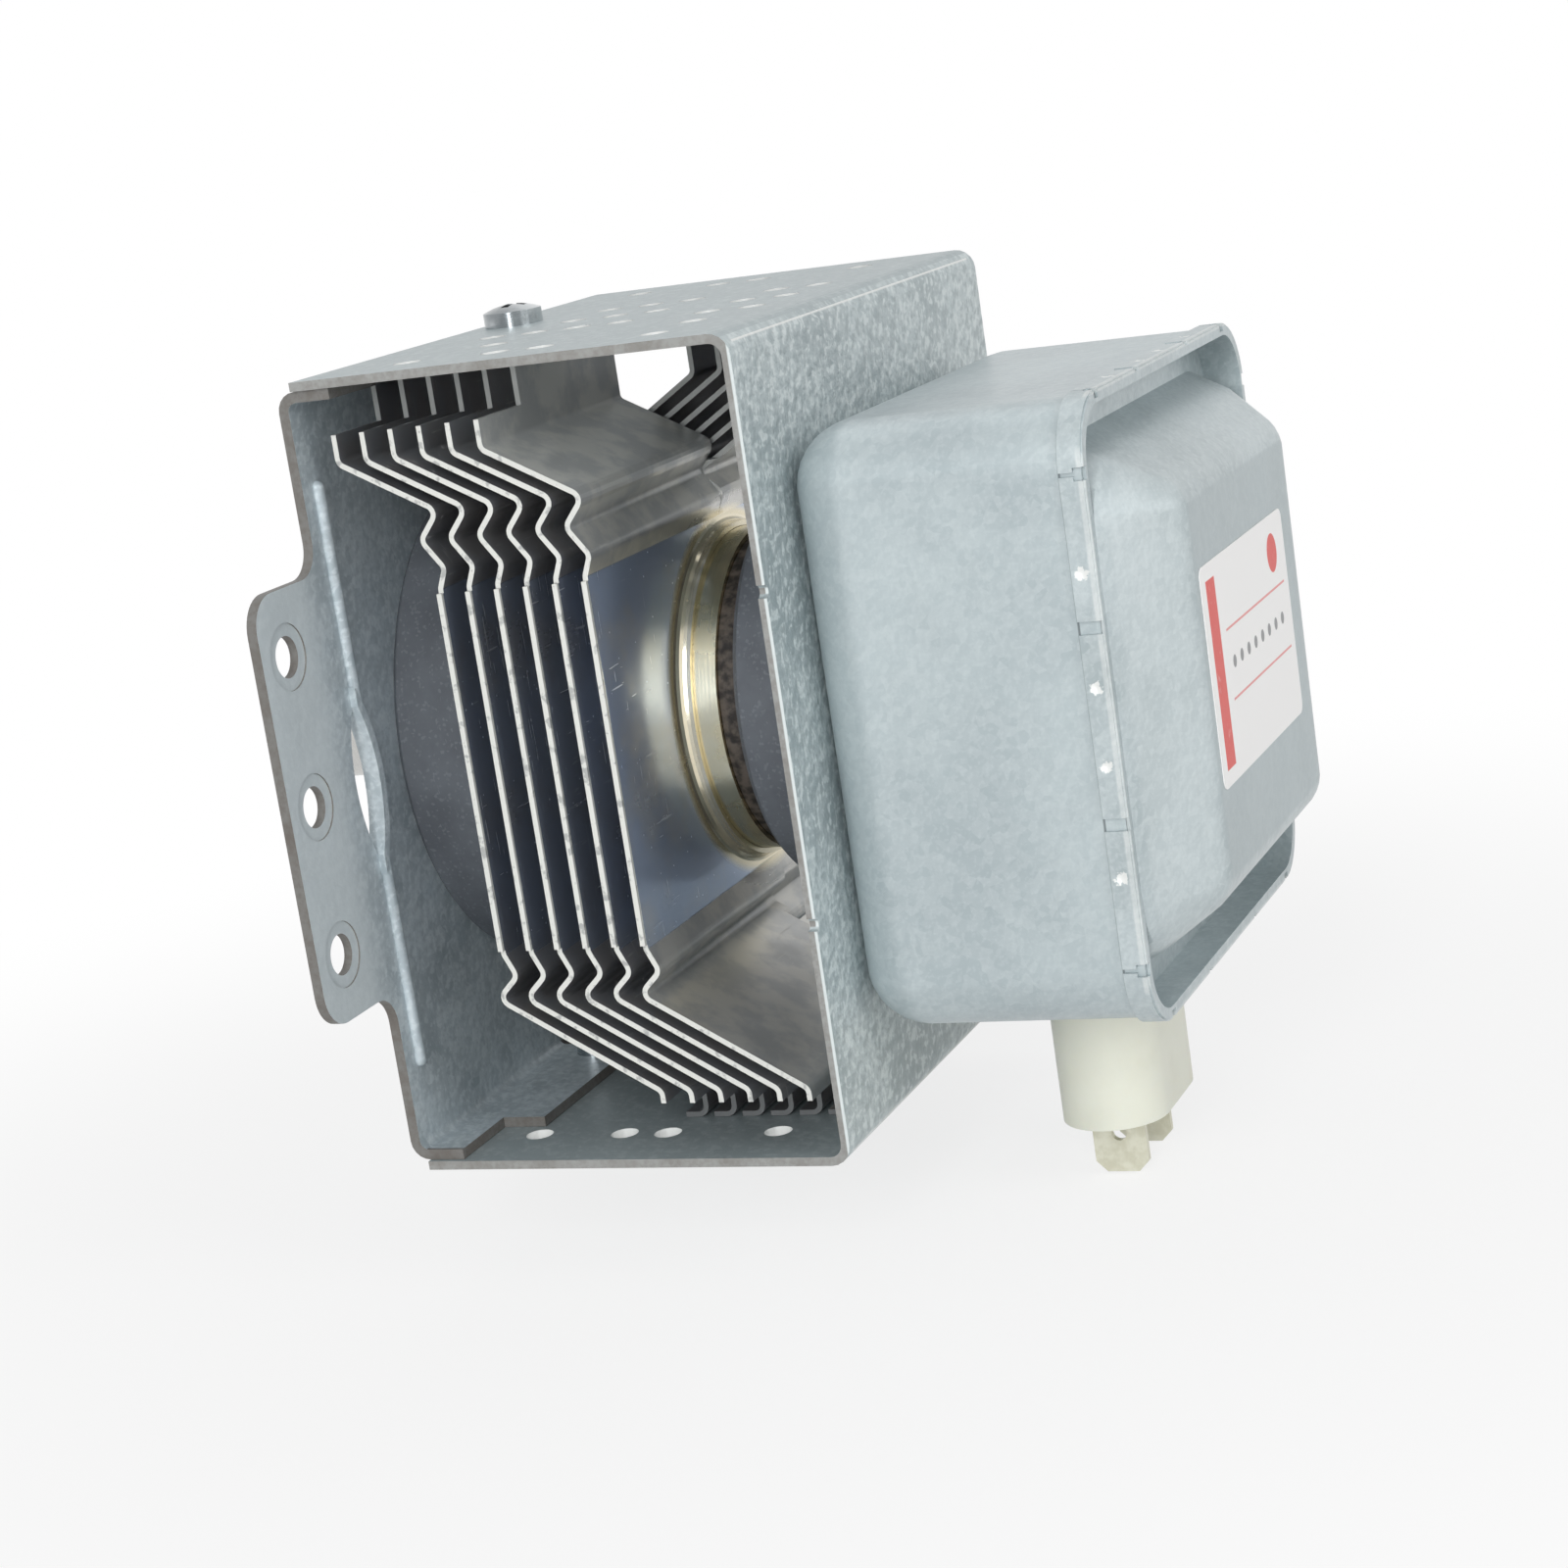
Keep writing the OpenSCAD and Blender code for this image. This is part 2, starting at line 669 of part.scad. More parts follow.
module antenna_side_pole_piece() {
    color("gray") difference() {
        pole_piece();
        translate([0, 0, lead_offset]) rod_x(anode_x0, vane_x0, lead_d / 2 + clearance);
    }
}

module filter_side_pole_piece() {
    color("gray") translate([2 * anode_mid, 0, 0]) mirror([1, 0, 0]) pole_piece();
}

module antenna_side_seal_can() {
    inner = can_r - can_wall;
    seat = min(output_d / 2, inner) - 1;
    color("silver") turned_x() polygon([
        [seat, -can_out], [can_r, -can_out], [can_r, anode_x0], [anode_in_r - fit, anode_x0],
        [anode_in_r - fit, anode_x0 + can_wall], [inner, anode_x0 + can_wall],
        [inner, can_wall - can_out], [seat, can_wall - can_out]]);
}

module filter_side_seal_can() {
    inner = can_r - can_wall;
    base = anode_r - can_wall;
    x0 = anode_x1 + fit;
    x1 = filter_magnet_x0 - fit;
    end = web_out + can_in;
    color("saddlebrown") turned_x() polygon([
        [base - can_wall, x0], [base, x0], [base, x1], [can_r, x1], [can_r, end], [inner, end],
        [inner, x1 - can_wall], [base - can_wall, x1 - can_wall]]);
}

// The lead leaves its vane, passes the pole piece and ends in the exhaust pipe
module antenna_lead() {
    bend = anode_x0 + can_wall;
    tip = pipe_pinch + fit;
    line = [[vane_x0 - fit, 0, lead_offset], [bend, 0, lead_offset], [-can_out, 0, 0], [tip, 0, 0]];
    color("peru") wire(eased(line, rod_ease), lead_d);
}

module output_ceramic() {
    color("mistyrose") tube_x(-can_out - output_l, -can_out - fit, output_d / 2, output_d / 2 - 2.2);
}

// Copper pipe on the ceramic, pinched off flat at its end
module exhaust_pipe() {
    r = lead_d / 2 + fit;
    flange_r = cap_d / 2 - 2 * cap_wall;
    color("peru") difference() {
        union() {
            rod_x(pipe_start - cap_wall, pipe_start, flange_r);
            rod_x(pipe_end + 3, pipe_start, r + 1);
            translate([pipe_end, -r - 1, -0.7]) cube([4, 2 * r + 2, 1.4]);
        }
        rod_x(pipe_pinch, pipe_start + 1, r);
    }
}

// Outside of the antenna cap, its skin moved inward by a margin
module cap_form(margin) {
    end = pipe_start - cap_l + margin;
    r = cap_d / 2 - margin;
    edge = cap_edge_r - margin;
    rod_x(end + edge, pipe_start + margin, r);
    rod_x(end, pipe_start, r - edge);
    translate([end + edge, 0, 0]) turned_x() translate([r - edge, 0]) circle(r = edge);
}

module antenna_cap() {
    color("silver") difference() {
        cap_form(0);
        cap_form(cap_wall);
    }
}

module mesh_gasket() {
    inner = can_r + clearance;
    soft = gasket_h / 2.5;
    width = gasket_d / 2 - inner;
    color("darkgray") turned_x() translate([inner + width / 2, -gasket_h / 2]) round_rect(width, gasket_h, soft);
}

// Filament, wound from hat to hat
module filament() {
    x0 = vane_x0 - hat_t / 2;
    run = vane_l + hat_t;
    turns = 8;
    steps = turns * helix_steps;
    color("dimgray") wire([for (i = [0 : steps])
        let (a = 360 * i / helix_steps)
        [x0 + run * i / steps, filament_d / 2 * cos(a), filament_d / 2 * sin(a)]], filament_wire_d);
}

module antenna_side_end_hat() {
    x1 = vane_x0 - hat_t / 2 - filament_wire_d / 2 - fit;
    color("slategray") rod_x(x1 - hat_t, x1, hat_d / 2);
}

module filter_side_end_hat() {
    x0 = vane_x0 + vane_l + hat_t / 2 + filament_wire_d / 2 + fit;
    color("slategray") difference() {
        rod_x(x0, x0 + hat_t, hat_d / 2);
        rod_x(x0 - 1, x0 + hat_t + 1, rod_d / 2 + clearance);
    }
}

module centre_lead() {
    start = vane_x0 - hat_t / 2 - filament_wire_d / 2;
    y = rod_gap / 2;
    line = [[start, 0, 0], [filter_magnet_x0, 0, 0], [web_in - rod_ease, y, 0], [rod_end, y, 0]];
    color("silver") wire(eased(line, rod_ease), rod_d);
}

module side_lead() {
    start = vane_x0 + vane_l + hat_t * 1.5 + filament_wire_d / 2 + 2 * fit;
    hat_y = -hat_d / 2 + rod_d / 2;
    y = -rod_gap / 2;
    line = [[start, hat_y, 0], [filter_magnet_x0, hat_y, 0], [web_in - rod_ease, y, 0], [rod_end, y, 0]];
    color("silver") wire(eased(line, rod_ease), rod_d);
}

module stem_ceramic() {
    color("mistyrose") difference() {
        union() {
            rod_x(web_out + can_in + fit, stem_end, can_r - can_wall / 2);
            rod_x(web_out, stem_end, can_r - can_wall - fit);
        }
        for (y = [-1, 1]) translate([0, y * rod_gap / 2, 0]) rod_x(web_out - 1, stem_end + 1, rod_d / 2 + fit);
    }
}

// A block with round long edges and a round end at x0
module drawn_block(x0, x1, w, h, r) {
    hull() for (y = [-1, 1], z = [-1, 1]) translate([0, y * (w / 2 - r), z * (h / 2 - r)]) {
        translate([x0 + r, 0, 0]) sphere(r = r, $fn = 32);
        translate([x1 - 1, 0, 0]) rotate([0, 90, 0]) cylinder(h = 1, r = r, $fn = 32);
    }
}

module filter_box() {
    color("lightsteelblue") difference() {
        drawn_block(web_out, rim_x, box_w, box_h, box_r);
        drawn_block(web_out + box_t, rim_x + 2, box_w - 2 * box_t, box_h - 2 * box_t, box_r - box_t);
        rod_x(web_out - 1, web_out + box_t + 1, can_r + clearance);
        translate([feed, 0, 0]) drawn_z(-box_h, -box_h / 4) feed_neck(clearance);
    }
}

// Section of the capacitor where it passes the box's wall
module feed_neck(margin) {
    slot(case_w - 3 + 2 * margin, case_w - 3 + feed_gap + 2 * margin);
}

// The lid's dome, its skin moved inward by a margin
module dome(margin) {
    w = box_w - 2 * box_t - 2 * fit - lid_t - 2 * margin;
    foot_x = rim_x - channel_h - lid_t / 2 - 2 * margin;
    ease_y = ridge_r * tan(atan2(dome_out, (w - face_w) / 2) / 2);
    ease_z = ridge_r * tan(atan2(dome_out, (dome_h - face_h) / 2) / 2);
    hull() {
        drawn_x(foot_x, foot_x + 0.1) round_rect(w, dome_foot_h - 2 * margin, dome_r - margin, $fn = 32);
        drawn_x(lid_top - 0.2 - margin, lid_top - 0.1 - margin)
            round_rect(w, dome_h - 2 * margin, dome_r - margin, $fn = 32);
        for (y = [-1, 1], z = [-1, 1])
            translate([dome_top - ridge_r, y * (face_w / 2 - ease_y), z * (face_h / 2 - ease_z)])
                sphere(r = ridge_r - margin, $fn = 32);
    }
}

// A prism with the box's own section, grown by a margin
module box_prism(x0, x1, margin) {
    drawn_x(x0, x1) round_rect(box_w + 2 * margin, box_h + 2 * margin, box_r + margin);
}

module filter_lid() {
    skirt_x = rim_x - skirt_l;
    floor_x = rim_x - channel_h;
    pan_x = floor_x - lid_t;
    inside = -box_t - fit;
    color("lightsteelblue") difference() {
        union() {
            difference() {
                union() {
                    box_prism(pan_x, lid_top - lid_t / 2, fit + lid_t);
                    box_prism(pan_x, lid_top, fit + lid_t / 2);
                }
                box_prism(floor_x, lid_top + 1, inside - lid_t);
            }
            dome(0);
        }
        difference() {
            box_prism(pan_x - 1, rim_x + fit, fit);
            box_prism(pan_x - 2, rim_x + 1, inside);
        }
        difference() {
            box_prism(pan_x - 1, skirt_x, fit + lid_t + 1);
            box_prism(pan_x - 2, skirt_x + 1, fit / 2);
        }
        dome(lid_t);
        for (turn = [0, 180]) rotate([turn, 0, 0]) {
            skirt_marks(box_w / 2);
            rotate([90, 0, 0]) skirt_marks(box_h / 2);
        }
    }
}

// Gaps and stake marks in the skirt's side that faces +Y at a distance from the axis
module skirt_marks(reach) {
    for (z = [-1, 1]) {
        skirt_cut(reach, z * notch_z, notch_w, skirt_l + 1);
        skirt_cut(reach, z * skirt_end_z, notch_w / 3, skirt_l + 1);
        skirt_cut(reach - box_t, z * skirt_end_z, notch_w, 2 * lid_t);
        for (share = [0.4, 1.55]) translate([rim_x - skirt_l / 2, reach + fit + lid_t, z * notch_z * share])
            rotate([-90, 0, 0]) cylinder(h = lid_t, r1 = 0, r2 = stake_d, center = true);
    }
}

// A gap in the skirt, from a distance outward and from the fold down to a depth
module skirt_cut(from, z, w, depth) {
    translate([rim_x - depth, from, z - w / 2]) cube([depth + 3, box_r, w]);
}

// Path of a choke coil: from its cathode lead, round the core, to its terminal's tail
function coil_path(side) =
    let (pin_y = rod_gap / 2 + (rod_d + coil_wire_d) / 2 + fit)
    let (tail_y = feed_gap / 2 + (blade_t + coil_wire_d) / 2 + fit)
    let (steps = coil_turns * helix_steps)
    let (turn_end = coil_top - coil_turns * coil_pitch)
    concat(
        [[rod_end - 1.5, side * pin_y, -1.2], [rod_end - 1.5, side * pin_y, 4]],
        [[coil_x - coil_r / 2, side * (coil_y - coil_r - 1), coil_top - 2]],
        [for (i = [0 : steps])
            let (a = 360 * i / helix_steps)
            [coil_x + coil_r * sin(a), side * (coil_y - coil_r * cos(a)), coil_top - coil_pitch * coil_turns * i / steps]],
        [[(coil_x + feed) / 2, side * (coil_y - coil_r - 1), turn_end - 3]],
        [[feed, side * tail_y, tail_top - 0.5], [feed, side * tail_y, block_top + 1]]);

module choke_coil(side) {
    color("peru") wire(coil_path(side), coil_wire_d);
}

module ferrite_core(side) {
    middle_z = coil_top - coil_turns * coil_pitch / 2;
    color("dimgray") translate([coil_x, side * coil_y, middle_z]) cylinder(h = core_l, d = core_d, center = true);
}

// Slots for the two terminals
module terminal_slots(w, z0, z1) {
    for (y = [-1, 1]) translate([feed, y * feed_gap / 2, (z0 + z1) / 2])
        cube([w + 2 * fit, blade_t + 2 * fit, z1 - z0], center = true);
}

module capacitor_block() {
    color("linen") difference() {
        translate([feed, 0, 0]) drawn_z(feed_top + fit, block_top) slot(case_w, case_w + feed_gap);
        terminal_slots(tail_w, feed_top - 1, block_top + 1);
    }
}

module capacitor_case() {
    color("ivory") difference() {
        union() {
            translate([feed, 0, 0]) drawn_z(case_bottom, -box_h / 2 - fit) slot(case_w, case_w + feed_gap);
            translate([feed, 0, 0]) drawn_z(case_bottom, feed_top) feed_neck(0);
        }
        terminal_slots(blade_w, case_bottom - 1, feed_top - 2);
        terminal_slots(tail_w, feed_top - 3, feed_top + 1);
    }
}

// A blade with chamfered corners and a latch hole, and a narrow tail
module terminal(side) {
    chamfer = blade_w / 5;
    shoulder = feed_top - 2 - fit;
    half = blade_w / 2;
    color("tan") translate([feed, side * feed_gap / 2, 0]) drawn_y(-blade_t / 2, blade_t / 2) difference() {
        polygon([
            [-half + chamfer, blade_bottom], [half - chamfer, blade_bottom], [half, blade_bottom + chamfer],
            [half, shoulder], [tail_w / 2, shoulder], [tail_w / 2, tail_top], [-tail_w / 2, tail_top],
            [-tail_w / 2, shoulder], [-half, shoulder], [-half, blade_bottom + chamfer]]);
        translate([0, case_bottom - blade_l / 3]) circle(d = 1.8);
    }
}

yoke();
base_plate();
yoke_screws();
antenna_side_magnet();
filter_side_magnet();
for (i = [1 : fin_count])
    cooling_fin(i);
anode_cylinder();
anode_vanes();
strap_rings();
antenna_side_pole_piece();
filter_side_pole_piece();
antenna_side_seal_can();
filter_side_seal_can();
antenna_lead();
exhaust_pipe();
output_ceramic();
antenna_cap();
mesh_gasket();
filament();
antenna_side_end_hat();
filter_side_end_hat();
centre_lead();
side_lead();
stem_ceramic();
filter_box();
filter_lid();
choke_coil(-1);  // choke_coil_front
choke_coil(1);  // choke_coil_back
ferrite_core(-1);  // ferrite_core_front
ferrite_core(1);  // ferrite_core_back
capacitor_block();
capacitor_case();
terminal(-1);  // terminal_front
terminal(1);  // terminal_back
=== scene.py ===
"""Looks of a microwave-oven magnetron: finishes for its solids, small dressing, studio and camera."""

import logging
import math
from dataclasses import dataclass
from enum import Enum
from typing import Any, ClassVar, Mapping, Sequence, Union

import bmesh
import bpy
from mathutils import Matrix, Vector


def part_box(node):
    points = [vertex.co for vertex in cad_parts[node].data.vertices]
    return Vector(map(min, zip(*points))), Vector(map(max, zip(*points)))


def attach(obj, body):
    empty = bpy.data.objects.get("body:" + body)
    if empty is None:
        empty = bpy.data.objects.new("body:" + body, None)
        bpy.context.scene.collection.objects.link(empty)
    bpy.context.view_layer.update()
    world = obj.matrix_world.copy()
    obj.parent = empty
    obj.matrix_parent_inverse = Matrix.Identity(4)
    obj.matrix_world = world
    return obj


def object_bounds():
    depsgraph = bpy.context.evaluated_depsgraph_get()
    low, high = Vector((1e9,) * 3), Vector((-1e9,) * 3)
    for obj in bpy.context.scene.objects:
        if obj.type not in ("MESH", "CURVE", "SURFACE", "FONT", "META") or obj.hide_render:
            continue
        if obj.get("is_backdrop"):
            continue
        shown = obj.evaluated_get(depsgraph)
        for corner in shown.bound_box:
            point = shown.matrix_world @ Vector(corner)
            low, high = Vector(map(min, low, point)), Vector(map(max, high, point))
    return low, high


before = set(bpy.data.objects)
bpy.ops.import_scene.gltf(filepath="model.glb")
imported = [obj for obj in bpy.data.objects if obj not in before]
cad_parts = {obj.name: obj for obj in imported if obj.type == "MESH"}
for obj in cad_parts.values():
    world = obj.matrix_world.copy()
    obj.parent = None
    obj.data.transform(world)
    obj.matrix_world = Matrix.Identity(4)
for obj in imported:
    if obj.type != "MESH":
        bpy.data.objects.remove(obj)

LOG = logging.getLogger("magnetron")
MM = 0.001
BODY = "root"
WHITE = (1.0, 1.0, 1.0, 1.0)
AXIS = Vector((1.0, 0.0, 0.0))
WELD = 0.001 * MM

Triple = tuple[float, float, float]
Colour = tuple[float, float, float, float]
Number = Union["Value", float]


def tint(red: float, green: float, blue: float) -> Colour:
    """Turns a screen colour, 0 to 255 a channel, into linear light.

    Args:
        red: red channel.
        green: green channel.
        blue: blue channel.

    Returns:
        The linear colour with full alpha.
    """
    steps = [level / 255.0 for level in (red, green, blue)]
    light = [s / 12.92 if s <= 0.04045 else ((s + 0.055) / 1.055) ** 2.4 for s in steps]
    return (light[0], light[1], light[2], 1.0)


def span(node: str) -> tuple[Vector, Vector]:
    """Gives the box of a CAD node.

    Args:
        node: the node's name.

    Returns:
        Its lowest and highest corner, in millimetres.
    """
    low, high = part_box(node)
    return Vector(low) / MM, Vector(high) / MM


class Value:
    """A shader socket that can stand in a Python expression."""

    def __init__(self, shade: "Shade", socket: bpy.types.NodeSocket) -> None:
        """Keeps the socket and the shade that it belongs to."""
        self.shade = shade
        self.socket = socket

    def __add__(self, other: Number) -> "Value":
        """Sum."""
        return self.shade.math("ADD", self, other)

    def __radd__(self, other: Number) -> "Value":
        """Sum with the number first."""
        return self.shade.math("ADD", other, self)

    def __sub__(self, other: Number) -> "Value":
        """Difference."""
        return self.shade.math("SUBTRACT", self, other)

    def __rsub__(self, other: Number) -> "Value":
        """Difference with the number first."""
        return self.shade.math("SUBTRACT", other, self)

    def __mul__(self, other: Number) -> "Value":
        """Product."""
        return self.shade.math("MULTIPLY", self, other)

    def __rmul__(self, other: Number) -> "Value":
        """Product with the number first."""
        return self.shade.math("MULTIPLY", other, self)

    def __pow__(self, other: Number) -> "Value":
        """Power."""
        return self.shade.math("POWER", self, other)

    def __abs__(self) -> "Value":
        """Size without the sign."""
        return self.shade.math("ABSOLUTE", self)

    def at_least(self, other: Number) -> "Value":
        """The larger of two values."""
        return self.shade.math("MAXIMUM", self, other)

    def at_most(self, other: Number) -> "Value":
        """The smaller of two values."""
        return self.shade.math("MINIMUM", self, other)

    def sine(self) -> "Value":
        """Sine of the value in radians."""
        return self.shade.math("SINE", self)

    def between(self, low: float, high: float) -> "Value":
        """Smooth step from 0 at low to 1 at high.

        Args:
            low: value at which the step starts.
            high: value at which it ends; it may be lower than low.

        Returns:
            A value from 0 to 1.
        """
        settings = {"interpolation_type": "SMOOTHSTEP"}
        limits = {"Value": self, "From Min": min(low, high), "From Max": max(low, high)}
        step = Value(self.shade, self.shade.node("ShaderNodeMapRange", settings, limits).outputs[0])
        return 1.0 - step if low > high else step

    def inside(self, low: float, high: float, soft: float = 0.1) -> "Value":
        """Band between two values.

        Args:
            low: value at which the band starts.
            high: value at which it ends.
            soft: width of the change at each end.

        Returns:
            1 in the band and 0 outside it.
        """
        return self.between(low, low + soft) * self.between(high, high - soft)

    def disc(self, radius: float, soft: float = 0.05) -> "Value":
        """Round patch, where the value is the distance from its centre.

        Args:
            radius: the patch's radius.
            soft: half the width of the change at its rim.

        Returns:
            1 in the patch and 0 outside it.
        """
        return self.between(radius + soft, radius - soft)


class Shade:
    """A material or a world that is written as Python expressions."""

    def __init__(self, name: str, world: bool = False) -> None:
        """Starts an empty material, or an empty world, of that name."""
        self.block = bpy.data.worlds.new(name) if world else bpy.data.materials.new(name)
        self.block.use_nodes = True
        self.tree = self.block.node_tree
        self.tree.nodes.clear()
        self.cache: dict[str, Value] = {}

    def node(
        self,
        kind: str,
        settings: Mapping[str, Any] | None = None,
        sockets: Mapping[Union[str, int], Any] | None = None,
    ) -> bpy.types.Node:
        """Adds one node.

        Args:
            kind: Blender's name of the node's type.
            settings: properties, set before the sockets.
            sockets: a value or a link for each socket by name or number.

        Returns:
            The new node.
        """
        item = self.tree.nodes.new(kind)
        for key, value in (settings or {}).items():
            setattr(item, key, value)
        for key, value in (sockets or {}).items():
            if isinstance(value, Value):
                self.tree.links.new(value.socket, item.inputs[key])
            else:
                item.inputs[key].default_value = value
        return item

    def math(self, operation: str, *terms: Number) -> Value:
        """Adds a Math node.

        Args:
            operation: Blender's name of the operation.
            terms: values or numbers, in order.

        Returns:
            The node's result.
        """
        item = self.node("ShaderNodeMath", {"operation": operation}, dict(enumerate(terms)))
        return Value(self, item.outputs[0])

    def distance(self, first: Value, second: Value) -> Value:
        """Length of the slope over two sides at a right angle.

        Args:
            first: one side.
            second: the other side.

        Returns:
            The length.
        """
        return self.math("SQRT", first * first + second * second)

    def seen(self) -> Value:
        """1 for the camera, in a reflection and through a clear piece, and 0 for light."""
        path = self.node("ShaderNodeLightPath")
        names = ("Is Camera Ray", "Is Glossy Ray", "Is Transmission Ray")
        camera, glossy, clear = [Value(self, path.outputs[name]) for name in names]
        return camera.at_least(glossy).at_least(clear)

    def place(self) -> Value:
        """Place on the object, in millimetres."""
        if "place" not in self.cache:
            source = self.node("ShaderNodeTexCoord")
            sockets = {0: Value(self, source.outputs["Object"]), "Scale": 1.0 / MM}
            scaled = self.node("ShaderNodeVectorMath", {"operation": "SCALE"}, sockets)
            self.cache["place"] = Value(self, scaled.outputs[0])
            self.cache["facing"] = Value(self, source.outputs["Normal"])
        return self.cache["place"]

    def parts(self, vector: Value, key: str) -> tuple[Value, Value, Value]:
        """The three parts of a vector, kept under a key.

        Args:
            vector: the vector.
            key: name under which the parts are kept.

        Returns:
            Its X, Y and Z.
        """
        names = [key + axis for axis in "XYZ"]
        if names[0] not in self.cache:
            item = self.node("ShaderNodeSeparateXYZ", {}, {0: vector})
            for name, socket in zip(names, item.outputs):
                self.cache[name] = Value(self, socket)
        return self.cache[names[0]], self.cache[names[1]], self.cache[names[2]]

    def spot(self) -> tuple[Value, Value, Value]:
        """X, Y and Z on the object, in millimetres."""
        return self.parts(self.place(), "spot")

    def facing(self) -> tuple[Value, Value, Value]:
        """X, Y and Z of the direction that the surface faces."""
        self.place()
        return self.parts(self.cache["facing"], "facing")

    def moved(self, size: float, stretch: Triple, shift: float) -> Value:
        """Place in units of a pattern's size.

        Args:
            size: size of the pattern's features, in millimetres.
            stretch: how much longer they are along X, Y and Z.
            shift: moves the pattern, so that two layers differ.

        Returns:
            The scaled place.
        """
        scale = tuple(1.0 / (size * s) for s in stretch)
        sockets = {"Vector": self.place(), "Location": (shift, shift * 0.7, -shift), "Scale": scale}
        return Value(self, self.node("ShaderNodeMapping", {}, sockets).outputs[0])

    def cloud(
        self,
        size: float,
        detail: float = 2.0,
        stretch: Triple = (1.0, 1.0, 1.0),
        shift: float = 0.0,
    ) -> Value:
        """Soft random pattern from 0 to 1.

        Args:
            size: size of its features, in millimetres.
            detail: how many finer layers it has.
            stretch: how much longer the features are along X, Y and Z.
            shift: moves the pattern.

        Returns:
            The pattern.
        """
        place = self.moved(size, stretch, shift)
        sockets = {"Vector": place, "Scale": 1.0, "Detail": detail, "Roughness": 0.55}
        return Value(self, self.node("ShaderNodeTexNoise", {}, sockets).outputs[0])

    def cells(self, size: float, shift: float = 0.0, shade_each: bool = False) -> Value:
        """Pattern of cells.

        Args:
            size: size of a cell, in millimetres.
            shift: moves the pattern.
            shade_each: gives each cell one random value; otherwise the distance from its middle.

        Returns:
            The pattern.
        """
        sockets = {"Vector": self.moved(size, (1.0, 1.0, 1.0), shift), "Scale": 1.0}
        item = self.node("ShaderNodeTexVoronoi", {}, sockets)
        if not shade_each:
            return Value(self, item.outputs["Distance"])
        split = self.node("ShaderNodeSeparateColor", {}, {0: Value(self, item.outputs["Color"])})
        return Value(self, split.outputs[0])

    def blend(self, share: Number, first: Any, second: Any) -> Value:
        """Mixes two colours.

        Args:
            share: 0 gives the first colour and 1 the second.
            first: colour or link.
            second: colour or link.

        Returns:
            The mixed colour.
        """
        item = self.node("ShaderNodeMix", {"data_type": "RGBA"}, {0: share, 6: first, 7: second})
        return Value(self, item.outputs[2])

    def relief(self, height: Value, depth: float, under: Value | None = None) -> Value:
        """Fine relief for the Normal socket.

        Args:
            height: pattern from 0 to 1.
            depth: depth of the relief, in millimetres.
            under: relief that this one lies on.

        Returns:
            The bent normal.
        """
        sockets: dict[Union[str, int], Any] = {"Strength": 1.0, "Distance": depth * MM, "Height": height}
        if under is not None:
            sockets["Normal"] = under
        return Value(self, self.node("ShaderNodeBump", {}, sockets).outputs[0])

    def surface(self, sockets: Mapping[Union[str, int], Any]) -> bpy.types.Material:
        """Closes the material with a Principled shader.

        Args:
            sockets: the shader's values and links.

        Returns:
            The material.
        """
        shader = self.node("ShaderNodeBsdfPrincipled", {}, sockets)
        self.node("ShaderNodeOutputMaterial", {}, {"Surface": Value(self, shader.outputs[0])})
        return self.block


class CutEdge(Enum):
    """Which faces of a sheet piece are its sheared edges."""

    NONE = "none"
    FRONT_AND_BACK = "front and back"
    PLATE_OUTLINE = "plate outline"
    SKIRT = "skirt"


